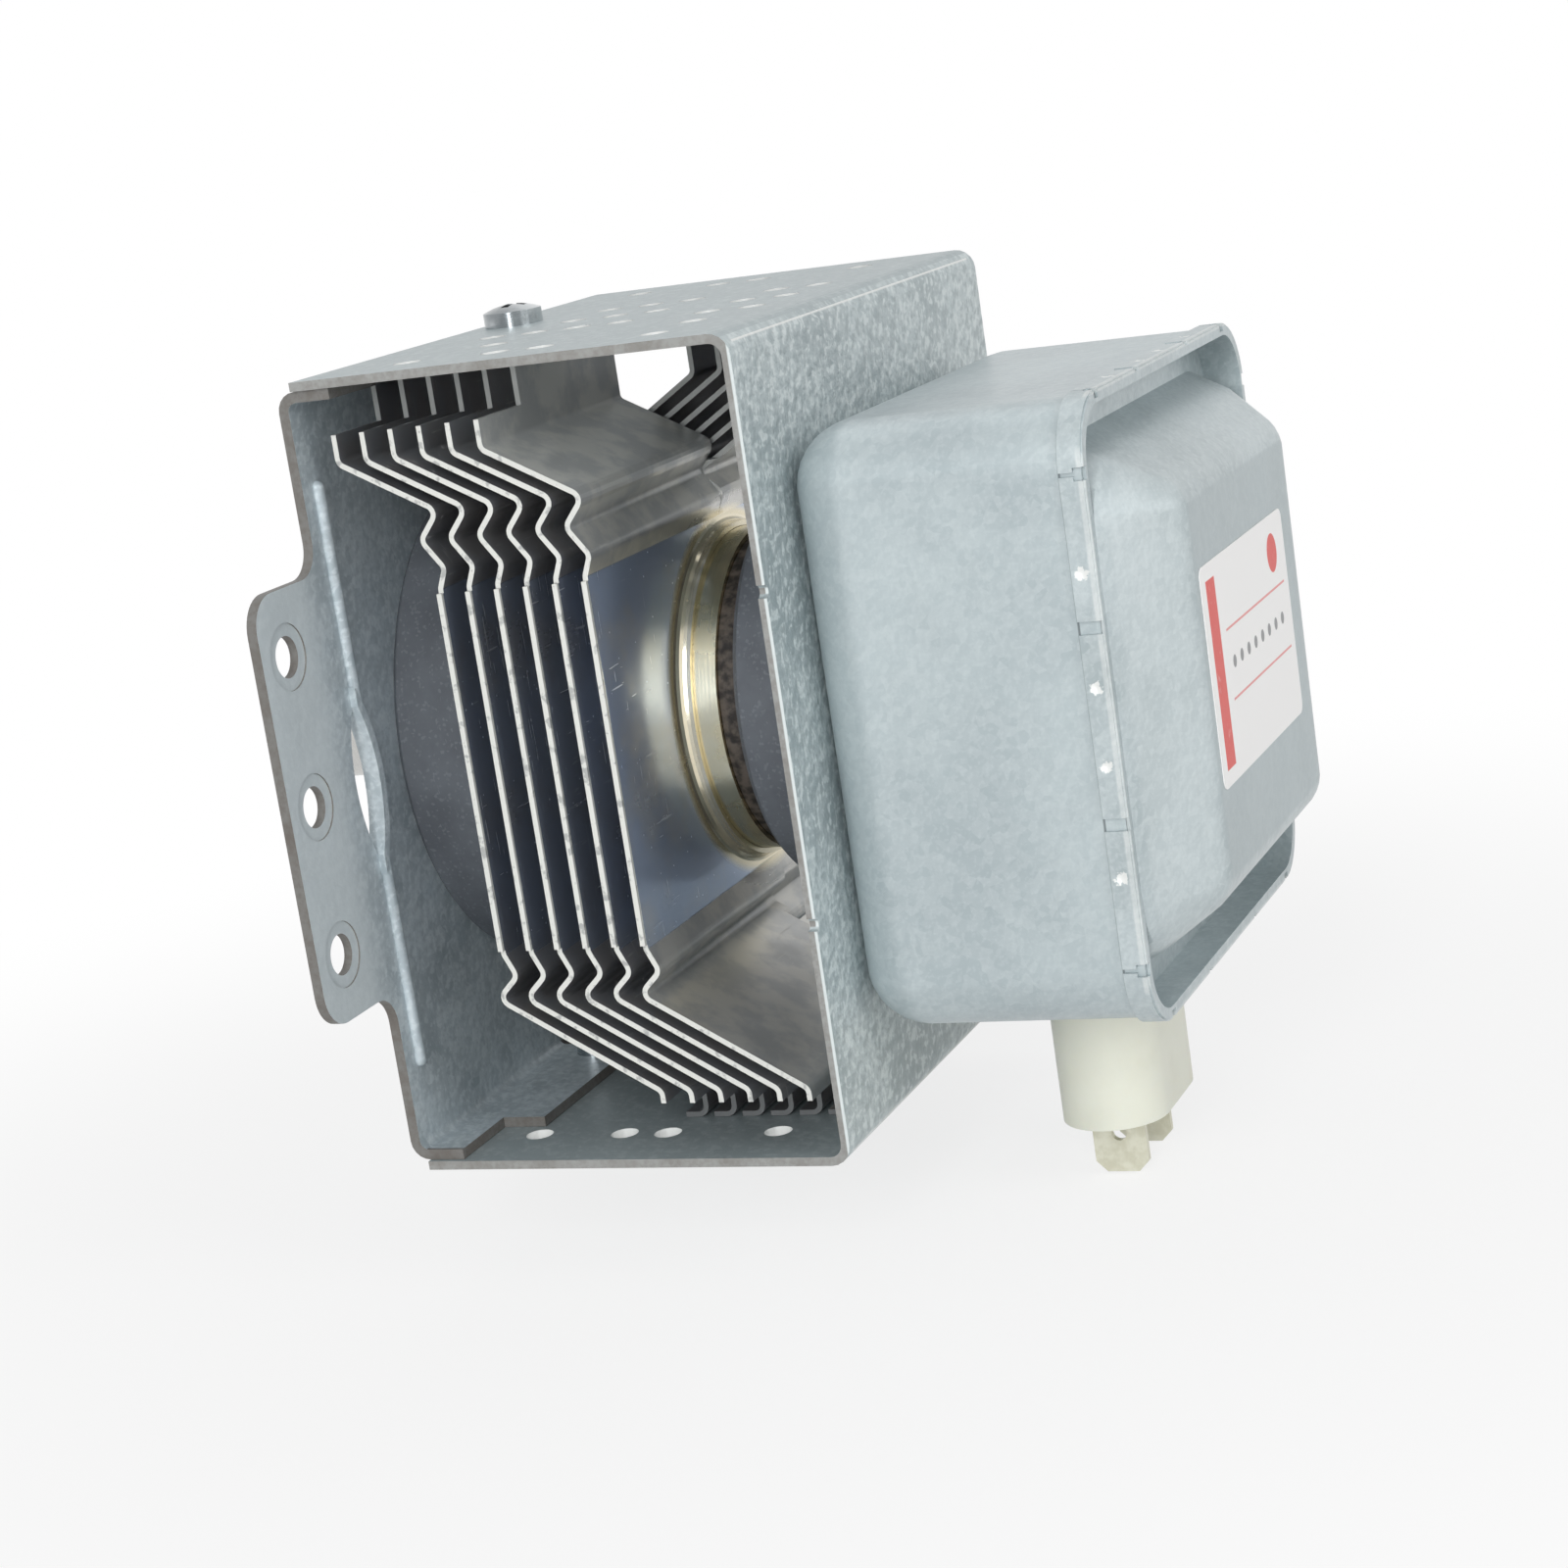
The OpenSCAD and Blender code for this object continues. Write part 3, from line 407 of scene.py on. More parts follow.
@dataclass(frozen=True)
class GalvanisedSheet:
    """Zinc-coated steel sheet: crystals, blotches, pressed grain with painted light and shade on its bumps,
    and raw sheared edges.
    """

    tone: Colour
    dark: Colour
    pale: Colour
    raw: Colour = tint(158, 159, 157)
    rust: Colour = tint(122, 118, 112)
    # near white: rubbed zinc on the lid's fold and stakes, and the painted highlight on the yoke's vent
    # walls
    rubbed_zinc_and_vent_highlight: Colour = tint(236, 238, 236)
    # colour of the painted shadow beside the lid's skirt
    seam_shadow_tone: Colour = tint(70, 78, 82)
    grain_size: float = 1.1
    grain_depth: float = 0.05
    # strength of the painted light and shade on the grain's bumps
    grain_shading_tone: float = 0.35
    # shift of the grain's copy, which sets the side of each bump that is painted lit
    grain_lean: float = 0.3
    crystal_size: float = 2.6
    crystal_tone: float = 0.25
    blotch_size: float = 16.0
    roughness: float = 0.42
    metallic: float = 0.2
    draw_lines: float = 0.0
    seam_x: float | None = None
    fold_x: float | None = None
    stakes: tuple[float, ...] = ()
    edge: CutEdge = CutEdge.NONE

    def web_share(self, s: Shade, least: float) -> Number:
        """How much of the pressed grain shows: all on the yoke's web and less on its flanges.

        Args:
            s: the material that is being written.
            least: share on a flange.

        Returns:
            The share at each place, and 1 for any other sheet.
        """
        if self.edge is not CutEdge.FRONT_AND_BACK:
            return 1.0
        across, _, _ = s.facing()
        return least + (1.0 - least) * abs(across).between(0.5, 0.9)

    def vent_mask(self, s: Shade) -> Value:
        """Walls of the vent holes in the yoke's flanges, where a painted highlight goes.

        Args:
            s: the material that is being written.

        Returns:
            1 on a hole's wall and 0 elsewhere.
        """
        _, _, up = s.facing()
        _, y, z = s.spot()
        high = span("yoke")[1]
        walls = abs(up).between(0.6, 0.45) * abs(z).between(high.z - 1.3, high.z - 1.1)
        return walls * abs(y).between(high.y - 1.5, high.y - 2.0)

    def cut_mask(self, s: Shade) -> Value | None:
        """Where the sheet's sheared edges are.

        Args:
            s: the material that is being written.

        Returns:
            1 on a sheared edge and 0 elsewhere, or None without such edges.
        """
        across, aside, _ = s.facing()
        x, y, z = s.spot()
        low, high = span("yoke")
        if self.edge is CutEdge.FRONT_AND_BACK:
            ends = across.between(-0.9, -0.97) * x.between(low.x + 1.9, low.x + 0.9)
            sides = abs(aside).between(0.8, 0.95) * abs(y).between(high.y - 1.4, high.y - 0.8)
            return sides.at_least(ends)
        if self.edge is CutEdge.PLATE_OUTLINE:
            top = span("base_plate")[1].z
            tab_end = across.between(0.9, 0.97).at_least(abs(aside).between(0.9, 0.97))
            tab_end = tab_end * abs(z).between(top - 1.75, top - 1.35)
            outline = abs(across).between(0.35, 0.2) * abs(y).between(high.y - 1.2, high.y - 0.7)
            return outline.at_least(tab_end)
        if self.edge is CutEdge.SKIRT:
            return across.between(-0.9, -0.97)
        return None

    def fold_wear(self, s: Shade) -> Value:
        """Bright wear along the lid's fold and in the stake marks of its skirt.

        Args:
            s: the material that is being written.

        Returns:
            0 where the zinc is whole and up to 1 where it is rubbed bright.
        """
        x, y, z = s.spot()
        rubbed = s.cloud(1.6, 4.0, shift=17.0)
        ragged = s.cloud(0.5, shift=19.0)
        side = span("filter_lid")[1].y
        outside = abs(y).at_least(abs(z)).between(side - 0.55, side - 0.35)
        wear = x.between(self.fold_x - 0.85, self.fold_x - 0.6)
        wear = wear * (0.3 + 0.15 * rubbed.between(0.4, 0.6)) * outside
        along = abs(y).at_most(abs(z))
        for spot in self.stakes:
            gap = s.distance(along - spot, x - self.fold_x + 1.6) + 1.6 * (ragged - 0.5)
            wear = wear.at_least(gap.between(0.75, 0.5) * outside)
        return wear

    def lid_colour(self, s: Shade, colour: Value) -> Value:
        """Colours of the lid: a painted highlight on the ridge, painted shade on the face, and the wear of
        its fold.

        Args:
            s: the material that is being written.
            colour: the sheet's colour so far.

        Returns:
            The colour.
        """
        x, _, _ = s.spot()
        across, _, _ = s.facing()
        raised = x.between(self.fold_x + 0.5, self.fold_x + 1.5)
        # painted highlight: the rounding between the lid's face and its slopes is painted paler
        ridge = across.between(0.4, 0.7) * across.between(0.98, 0.86) * raised
        colour = s.blend(ridge * 0.2, colour, self.pale)
        # painted shade: the lid's flat face is painted darker
        colour = s.blend(across.between(0.97, 1.0) * raised * 0.6, colour, self.dark)
        return s.blend(self.fold_wear(s), colour, self.rubbed_zinc_and_vent_highlight)

    def cut_colour(self, s: Shade) -> Value:
        """Colour of a sheared edge: grey with rusty stretches and a bright burr on the web's outer side.

        Args:
            s: the material that is being written.

        Returns:
            The colour.
        """
        x, _, _ = s.spot()
        torn = s.cloud(0.6, shift=9.0)
        stretch = s.cloud(5.0, 3.0, shift=14.0)
        colour = s.blend(torn.between(0.35, 0.7) * 0.4, self.raw, self.rust)
        colour = s.blend(stretch.between(0.45, 0.7) * 0.5, colour, self.rust)
        if self.edge is CutEdge.FRONT_AND_BACK:
            outer = span("yoke")[1].x
            colour = s.blend(x.between(outer - 0.4, outer - 0.28), colour, self.pale)
        return colour

    def make(self, name: str) -> bpy.types.Material:
        """Writes the material.

        Args:
            name: the material's name.

        Returns:
            The material.
        """
        s = Shade(name)
        _, _, up = s.facing()
        x, y, _ = s.spot()
        blotch = s.cloud(self.blotch_size, 3.0)
        crystal = s.cells(self.crystal_size, shift=3.0, shade_each=True)
        grain = s.cloud(self.grain_size, shift=7.0)
        leant = s.cloud(self.grain_size, shift=7.0 + self.grain_lean)
        fine = s.cloud(self.grain_size * 0.33, 1.0, shift=11.0)
        rub = s.cloud(5.0, 4.0, (0.25, 1.0, 4.0), 5.0)
        colour = s.blend(blotch.between(0.3, 0.7), self.dark, self.tone)
        colour = s.blend(crystal * self.crystal_tone, colour, self.pale)
        # painted shade: on the yoke, faces that point up are painted darker
        if self.edge is CutEdge.FRONT_AND_BACK:
            colour = s.blend(up.between(0.7, 0.9) * 0.7, colour, self.dark)
        # painted light and shade: the grain's bumps are painted pale on one side and dark on the other, as
        # if lit from one side
        slope = leant - grain
        strength = self.grain_shading_tone * self.web_share(s, 0.25)
        colour = s.blend(slope.between(0.02, 0.16) * strength, colour, self.pale)
        colour = s.blend(slope.between(-0.02, -0.16) * strength, colour, self.dark)
        rough = self.roughness + 0.12 * (blotch - 0.5) + 0.1 * (rub - 0.5) + 0.05 * (fine - 0.5)
        metal: Number = self.metallic
        normal = s.relief((grain * 0.75 + fine * 0.25) * self.web_share(s, 0.3), self.grain_depth)
        if self.draw_lines > 0.0:
            lines = s.cloud(0.5, 2.0, (40.0, 1.0, 1.0), 2.0)
            normal = s.relief(lines, self.draw_lines, normal)
            rough = rough + 0.12 * (lines - 0.5)
        if self.edge is CutEdge.PLATE_OUTLINE:
            side = span("yoke")[1].y
            # painted light: the plate's ears beyond the yoke's sides are painted paler than the shaded
            # plate inside the yoke
            colour = s.blend(abs(y).between(side - 1.0, side + 5.0) * 0.75, colour, self.pale)
        if self.seam_x is not None:
            # painted shadow: a thin dark line on the box just beside the edge of the lid's skirt
            painted_seam_shadow = x.between(self.seam_x - 0.28, self.seam_x - 0.1)
            painted_seam_shadow = painted_seam_shadow * x.between(self.seam_x + 0.12, self.seam_x)
            colour = s.blend(painted_seam_shadow * 0.7, colour, self.seam_shadow_tone)
        if self.edge is CutEdge.FRONT_AND_BACK:
            # painted highlight: the vent holes' walls are painted near white and are not metallic, as if
            # lit
            vent = self.vent_mask(s)
            colour = s.blend(vent, colour, self.rubbed_zinc_and_vent_highlight)
            metal = self.metallic * (1.0 - vent)
        if self.fold_x is not None:
            colour = self.lid_colour(s, colour)
        cut = self.cut_mask(s)
        if cut is not None:
            colour = s.blend(cut, colour, self.cut_colour(s))
            rough = rough + cut * 0.1
            metal = metal - 0.2 * cut
        sockets = {"Base Color": colour, "Roughness": rough, "Metallic": metal, "Normal": normal}
        return s.surface(sockets)


@dataclass(frozen=True)
class RolledAluminium:
    """Bright rolled fin sheet with smudges, scuffed bends and pale sheared edges."""

    tone: Colour = tint(194, 209, 234)
    warm: Colour = tint(212, 211, 206)
    smear: Colour = tint(150, 157, 166)
    # golden colour of the painted reflection of the anode ring
    painted_ring_reflection: Colour = tint(228, 219, 194)
    edge: Colour = tint(224, 225, 220)
    torn: Colour = tint(178, 180, 178)
    inner_edge: Colour = tint(120, 122, 123)
    # pale colour of scuffs on bends, also used for the painted light on the upper slopes
    scuff_and_painted_light: Colour = tint(232, 232, 228)
    roughness: float = 0.17
    # share of the painted light on the fin's upper slopes
    painted_upper_light_share: float = 0.0
    fold_z: float = 21.0

    def make(self, name: str) -> bpy.types.Material:
        """Writes the material.

        Args:
            name: the material's name.

        Returns:
            The material.
        """
        s = Shade(name)
        across, aside, up = s.facing()
        _, y, z = s.spot()
        radius = s.distance(y, z)
        side = span("cooling_fin_1")[1].y
        anode = span("anode_cylinder")[1].y
        rolled = s.cloud(0.35, 2.0, (1.0, 60.0, 1.0))
        smudge = s.cloud(9.0, 4.0, shift=4.0)
        smoke = s.cloud(5.0, 5.0, shift=29.0)
        speck = s.cells(1.7, shift=8.0)
        nick = s.cloud(1.3, 4.0, shift=12.0)
        scrape = s.cloud(1.1, 5.0, shift=15.0)
        patch = s.cloud(12.0, shift=21.0)
        cut = abs(aside).between(0.8, 0.95) * radius.between(anode + 4.0, anode + 5.0)
        cut = cut.at_least(abs(y).between(side - 0.5, side - 0.4))
        flat = abs(across).between(0.93, 0.99) * abs(z).between(self.fold_z + 1.0, self.fold_z)
        bend = abs(up).between(0.2, 0.4) * abs(across).between(0.3, 0.5)
        # painted light: above the fold the fin's slopes are painted pale and made less metallic
        painted_upper_light = z.between(self.fold_z - 1.0, self.fold_z + 9.0) * self.painted_upper_light_share
        collar = radius.between(anode + 3.2, anode + 1.8)
        scratch = s.cloud(0.45, 2.0, (9.0, 1.0, 14.0), 25.0).between(0.66, 0.72)
        scratch = scratch.at_least(s.cloud(0.4, 2.0, (1.0, 16.0, 1.5), 27.0).between(0.67, 0.73))
        worn = bend * scrape.between(0.62, 0.72) * patch.between(0.5, 0.62)
        worn = worn.at_least(scratch * patch.between(0.4, 0.6) * 0.6)
        colour = s.blend((smudge.between(0.45, 0.75) * 0.6).at_least(1.0 - flat), self.tone, self.warm)
        colour = s.blend(painted_upper_light * (1.0 - flat), colour, self.scuff_and_painted_light)
        colour = s.blend(smoke.between(0.4, 0.6) * (1.0 - flat) * 0.4, colour, self.smear)
        # painted reflection: the collar round the anode is painted with the ring's golden reflection and
        # made more metallic
        colour = s.blend(collar, colour, self.painted_ring_reflection)
        colour = s.blend(worn * 0.6, colour, self.scuff_and_painted_light)
        outer_edge = s.blend(nick.between(0.34, 0.46), self.torn, self.edge)
        inner_edge = s.blend(z.between(-5.0, 5.0), self.inner_edge, self.torn)
        edges = s.blend(abs(y).between(side - 2.0, side - 1.0), inner_edge, outer_edge)
        colour = s.blend(cut, colour, edges)
        rough = self.roughness + 0.16 * smudge.between(0.5, 0.8) + 0.1 * (rolled - 0.5) + 0.3 * worn
        rough = rough + 0.16 * (1.0 - flat) * radius.between(anode + 3.0, anode + 5.0)
        rough = rough + 0.12 * speck.between(0.12, 0.05) + cut * 0.2
        normal = s.relief(rolled, 0.004)
        normal = s.relief(nick * cut, 0.05, normal)
        metal = 0.66 - 0.4 * cut - 0.2 * worn + 0.25 * collar - 0.3 * painted_upper_light
        return s.surface({"Base Color": colour, "Roughness": rough, "Metallic": metal, "Normal": normal})


@dataclass(frozen=True)
class Ferrite:
    """Sintered ferrite: slate grey, matte, with fine specks and ground faces."""

    tone: Colour = tint(96, 101, 107)
    dark: Colour = tint(82, 86, 92)
    pale: Colour = tint(130, 135, 141)

    def make(self, name: str) -> bpy.types.Material:
        """Writes the material.

        Args:
            name: the material's name.

        Returns:
            The material.
        """
        s = Shade(name)
        cloudy = s.cloud(7.0, 4.0)
        speck = s.cells(0.3, shift=2.0, shade_each=True)
        pit = s.cells(1.3, shift=6.0)
        scratch = s.cloud(0.25, 2.0, (1.0, 30.0, 4.0), 9.0)
        colour = s.blend(cloudy.between(0.3, 0.7), self.dark, self.tone)
        colour = s.blend(speck.between(0.86, 0.97) * 0.3, colour, self.pale)
        colour = s.blend(pit.between(0.12, 0.05) * 0.5, colour, self.dark)
        colour = s.blend(scratch.between(0.66, 0.74) * 0.35, colour, self.pale)
        rough = 0.5 + 0.15 * (cloudy - 0.5) + 0.08 * speck
        normal = s.relief(speck * 0.3 + pit.between(0.0, 0.2) * 0.7, 0.012)
        return s.surface({"Base Color": colour, "Roughness": rough, "Metallic": 0.0, "Normal": normal})


@dataclass(frozen=True)
class TurnedMetal:
    """Metal that was turned on a lathe round the tube's axis."""

    tone: Colour
    other: Colour
    roughness: float = 0.22
    groove: float = 0.006
    metallic: float = 1.0

    def make(self, name: str) -> bpy.types.Material:
        """Writes the material.

        Args:
            name: the material's name.

        Returns:
            The material.
        """
        s = Shade(name)
        _, y, z = s.spot()
        radius = s.distance(y, z)
        ring = (radius * 23.0).sine() * 0.25 + (radius * 61.0).sine() * 0.25 + 0.5
        band = s.cloud(0.28, 2.0, (1.0, 90.0, 90.0))
        stain = s.cloud(6.0, 4.0, shift=3.0)
        turned = band * 0.7 + ring * 0.3
        colour = s.blend(stain.between(0.35, 0.7), self.tone, self.other)
        rough = self.roughness + 0.14 * (turned - 0.5) + 0.16 * stain.between(0.5, 0.8)
        normal = s.relief(turned, self.groove)
        sockets = {"Base Color": colour, "Roughness": rough, "Metallic": self.metallic, "Normal": normal}
        return s.surface(sockets)


@dataclass(frozen=True)
class RoughSkin:
    """Uneven surface of a brazed, tinned or wound piece."""

    tone: Colour
    dark: Colour
    size: float = 1.2
    depth: float = 0.12
    roughness: float = 0.7
    metallic: float = 0.3

    def make(self, name: str) -> bpy.types.Material:
        """Writes the material.

        Args:
            name: the material's name.

        Returns:
            The material.
        """
        s = Shade(name)
        lump = s.cloud(self.size, 4.0)
        patch = s.cloud(self.size * 5.0, 3.0, shift=4.0)
        colour = s.blend(lump.between(0.35, 0.65), self.dark, self.tone)
        colour = s.blend(patch.between(0.55, 0.8) * 0.5, colour, self.dark)
        rough = self.roughness + 0.2 * (lump - 0.5)
        normal = s.relief(lump, self.depth)
        sockets = {"Base Color": colour, "Roughness": rough, "Metallic": self.metallic, "Normal": normal}
        return s.surface(sockets)


@dataclass(frozen=True)
class Moulding:
    """Moulded or fired insulating piece with a soft skin."""

    tone: Colour
    stain: Colour
    roughness: float = 0.42
    skin_depth: float = 0.01

    def make(self, name: str) -> bpy.types.Material:
        """Writes the material.

        Args:
            name: the material's name.

        Returns:
            The material.
        """
        s = Shade(name)
        cloudy = s.cloud(8.0, 4.0)
        skin = s.cloud(0.6, 3.0, shift=5.0)
        colour = s.blend(cloudy.between(0.4, 0.75) * 0.6, self.tone, self.stain)
        rough = self.roughness + 0.14 * (cloudy - 0.5) + 0.08 * (skin - 0.5)
        normal = s.relief(skin, self.skin_depth)
        sockets = {
            "Base Color": colour,
            "Roughness": rough,
            "Metallic": 0.0,
            "Normal": normal,
            "Subsurface Weight": 0.12,
            "Subsurface Radius": (0.002, 0.0016, 0.001),
            "Subsurface Scale": 1.0,
        }
        return s.surface(sockets)


@dataclass(frozen=True)
class StickerPaper:
    """White coated paper with a red stripe, thin red rules, a red disc and a row of grey dots."""

    centre: tuple[float, float]
    width: float
    height: float
    paper: Colour = tint(250, 249, 248)
    red: Colour = tint(222, 66, 56)
    grey: Colour = tint(96, 98, 102)
    margin: float = 1.7
    stripe: tuple[float, float] = (1.9, 5.6)
    rules: tuple[float, float] = (8.2, 15.8)
    print_from: float = 7.9
    disc: tuple[float, float] = (31.0, 19.8)
    disc_radius: float = 2.2
    dots: tuple[float, float] = (10.0, 34.0)
    dot_level: float = 12.0
    dot_pitch: float = 3.2
    dot_radius: float = 0.7

    def make(self, name: str) -> bpy.types.Material:
        """Writes the material.

        Args:
            name: the material's name.

        Returns:
            The material.
        """
        s = Shade(name)
        _, y, z = s.spot()
        across = y - self.centre[0] + self.width / 2
        up = z - self.centre[1] + self.height / 2
        stripe = across.inside(*self.stripe) * up.inside(self.margin, self.height - self.margin)
        inset = across.inside(self.print_from, self.width - self.stripe[0])
        first, second = [abs(up - level).between(0.16, 0.1) for level in self.rules]
        rules = first.at_least(second) * inset
        disc = s.distance(across - self.disc[0], up - self.disc[1]).disc(self.disc_radius)
        start, end = self.dots
        step = s.math("PINGPONG", across - start, self.dot_pitch / 2)
        dots = s.distance(step, up - self.dot_level).disc(self.dot_radius)
        dots = dots * inset * across.between(end + 0.1, end)
        wear = s.cloud(1.4, 4.0)
        print_share = 1.0 - 0.25 * wear.between(0.6, 0.8)
        colour = s.blend(stripe.at_least(disc).at_least(rules * 0.75) * print_share, self.paper, self.red)
        colour = s.blend(dots * print_share * 0.85, colour, self.grey)
        rough = 0.38 + 0.1 * (wear - 0.5)
        normal = s.relief(s.cloud(0.5, 2.0, shift=3.0), 0.004)
        return s.surface({"Base Color": colour, "Roughness": rough, "Metallic": 0.0, "Normal": normal})


def soften(nodes: Sequence[str], angle: float) -> None:
    """Shades faceted CAD nodes smoothly over edges that are flatter than an angle.

    Args:
        nodes: names of the nodes.
        angle: the angle, in degrees.
    """
    limit = math.cos(math.radians(angle))
    for name in nodes:
        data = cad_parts[name].data
        spots = [tuple(round(part / WELD) for part in corner.co) for corner in data.vertices]
        around: dict[tuple[int, ...], list[bpy.types.MeshPolygon]] = {}
        for face in data.polygons:
            for corner in face.vertices:
                around.setdefault(spots[corner], []).append(face)
        normals = []
        for face in data.polygons:
            for corner in face.vertices:
                near = [other for other in around[spots[corner]] if other.normal.dot(face.normal) > limit]
                normals.append(sum((other.normal * other.area for other in near), Vector()).normalized())
        data.shade_smooth()
        data.normals_split_custom_set(normals)


def dress(nodes: Sequence[str], material: bpy.types.Material) -> list[str]:
    """Gives CAD nodes their finish.

    Args:
        nodes: names of the nodes.
        material: the finish.

    Returns:
        The names, for the log.
    """
    for name in nodes:
        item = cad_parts[name]
        if not item.material_slots:
            item.data.materials.append(material)
        for place in item.material_slots:
            place.material = material
    return list(nodes)


def add_object(name: str, mesh: bmesh.types.BMesh, material: bpy.types.Material) -> bpy.types.Object:
    """Turns a finished mesh into an object of the scene.

    Args:
        name: the object's name.
        mesh: its mesh, in metres; it is freed.
        material: its finish.

    Returns:
        The new object.
    """
    data = bpy.data.meshes.new(name)
    bmesh.ops.recalc_face_normals(mesh, faces=mesh.faces)
    mesh.to_mesh(data)
    mesh.free()
    data.materials.append(material)
    item = bpy.data.objects.new(name, data)
    bpy.context.scene.collection.objects.link(item)
    return item


def add_piece(name: str, mesh: bmesh.types.BMesh, material: bpy.types.Material) -> str:
    """Turns a finished mesh into a piece that rides on the part.

    Args:
        name: the piece's name.
        mesh: its mesh, in metres; it is freed.
        material: its finish.

    Returns:
        The name, for the log.
    """
    item = add_object(name, mesh, material)
    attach(item, BODY)
    return name


@dataclass
class Housing:
    """Yoke, base plate and the screws that join them."""

    yoke: GalvanisedSheet = GalvanisedSheet(
        tone=tint(186, 197, 199),
        dark=tint(154, 166, 169),
        pale=tint(220, 228, 228),
        grain_size=1.3,
        grain_depth=0.25,
        grain_shading_tone=0.65,
        roughness=0.4,
        edge=CutEdge.FRONT_AND_BACK,
    )
    plate: GalvanisedSheet = GalvanisedSheet(
        tone=tint(188, 200, 206),
        dark=tint(160, 172, 178),
        pale=tint(218, 227, 230),
        grain_depth=0.05,
        grain_shading_tone=0.4,
        crystal_size=1.6,
        crystal_tone=0.35,
        blotch_size=9.0,
        raw=tint(122, 121, 118),
        rust=tint(95, 87, 80),
        edge=CutEdge.PLATE_OUTLINE,
    )
    screw: TurnedMetal = TurnedMetal(tint(196, 201, 203), tint(138, 143, 146), roughness=0.1)

    def build(self) -> list[str]:
        """Dresses the housing and returns the names of its pieces."""
        done = dress(["yoke"], self.yoke.make("yoke_sheet"))
        done += dress(["base_plate"], self.plate.make("base_plate_sheet"))
        done += dress(["yoke_screws"], self.screw.make("screw_zinc"))
        return done


@dataclass
class FinStack:
    """The folded cooling fins."""

    count: int = 6
    # painted shade: the inner fins get a darker copy of the fin finish, for the shade between the fins
    inner: RolledAluminium = RolledAluminium(tone=tint(158, 168, 184), warm=tint(150, 150, 152))
    last: RolledAluminium = RolledAluminium(painted_upper_light_share=0.6)

    def build(self) -> list[str]:
        """Dresses the fins and returns their names."""
        names = [f"cooling_fin_{i + 1}" for i in range(self.count)]
        done = dress(names[:-1], self.inner.make("inner_fin_painted_shade"))
        return done + dress(names[-1:], self.last.make("last_fin_sheet"))


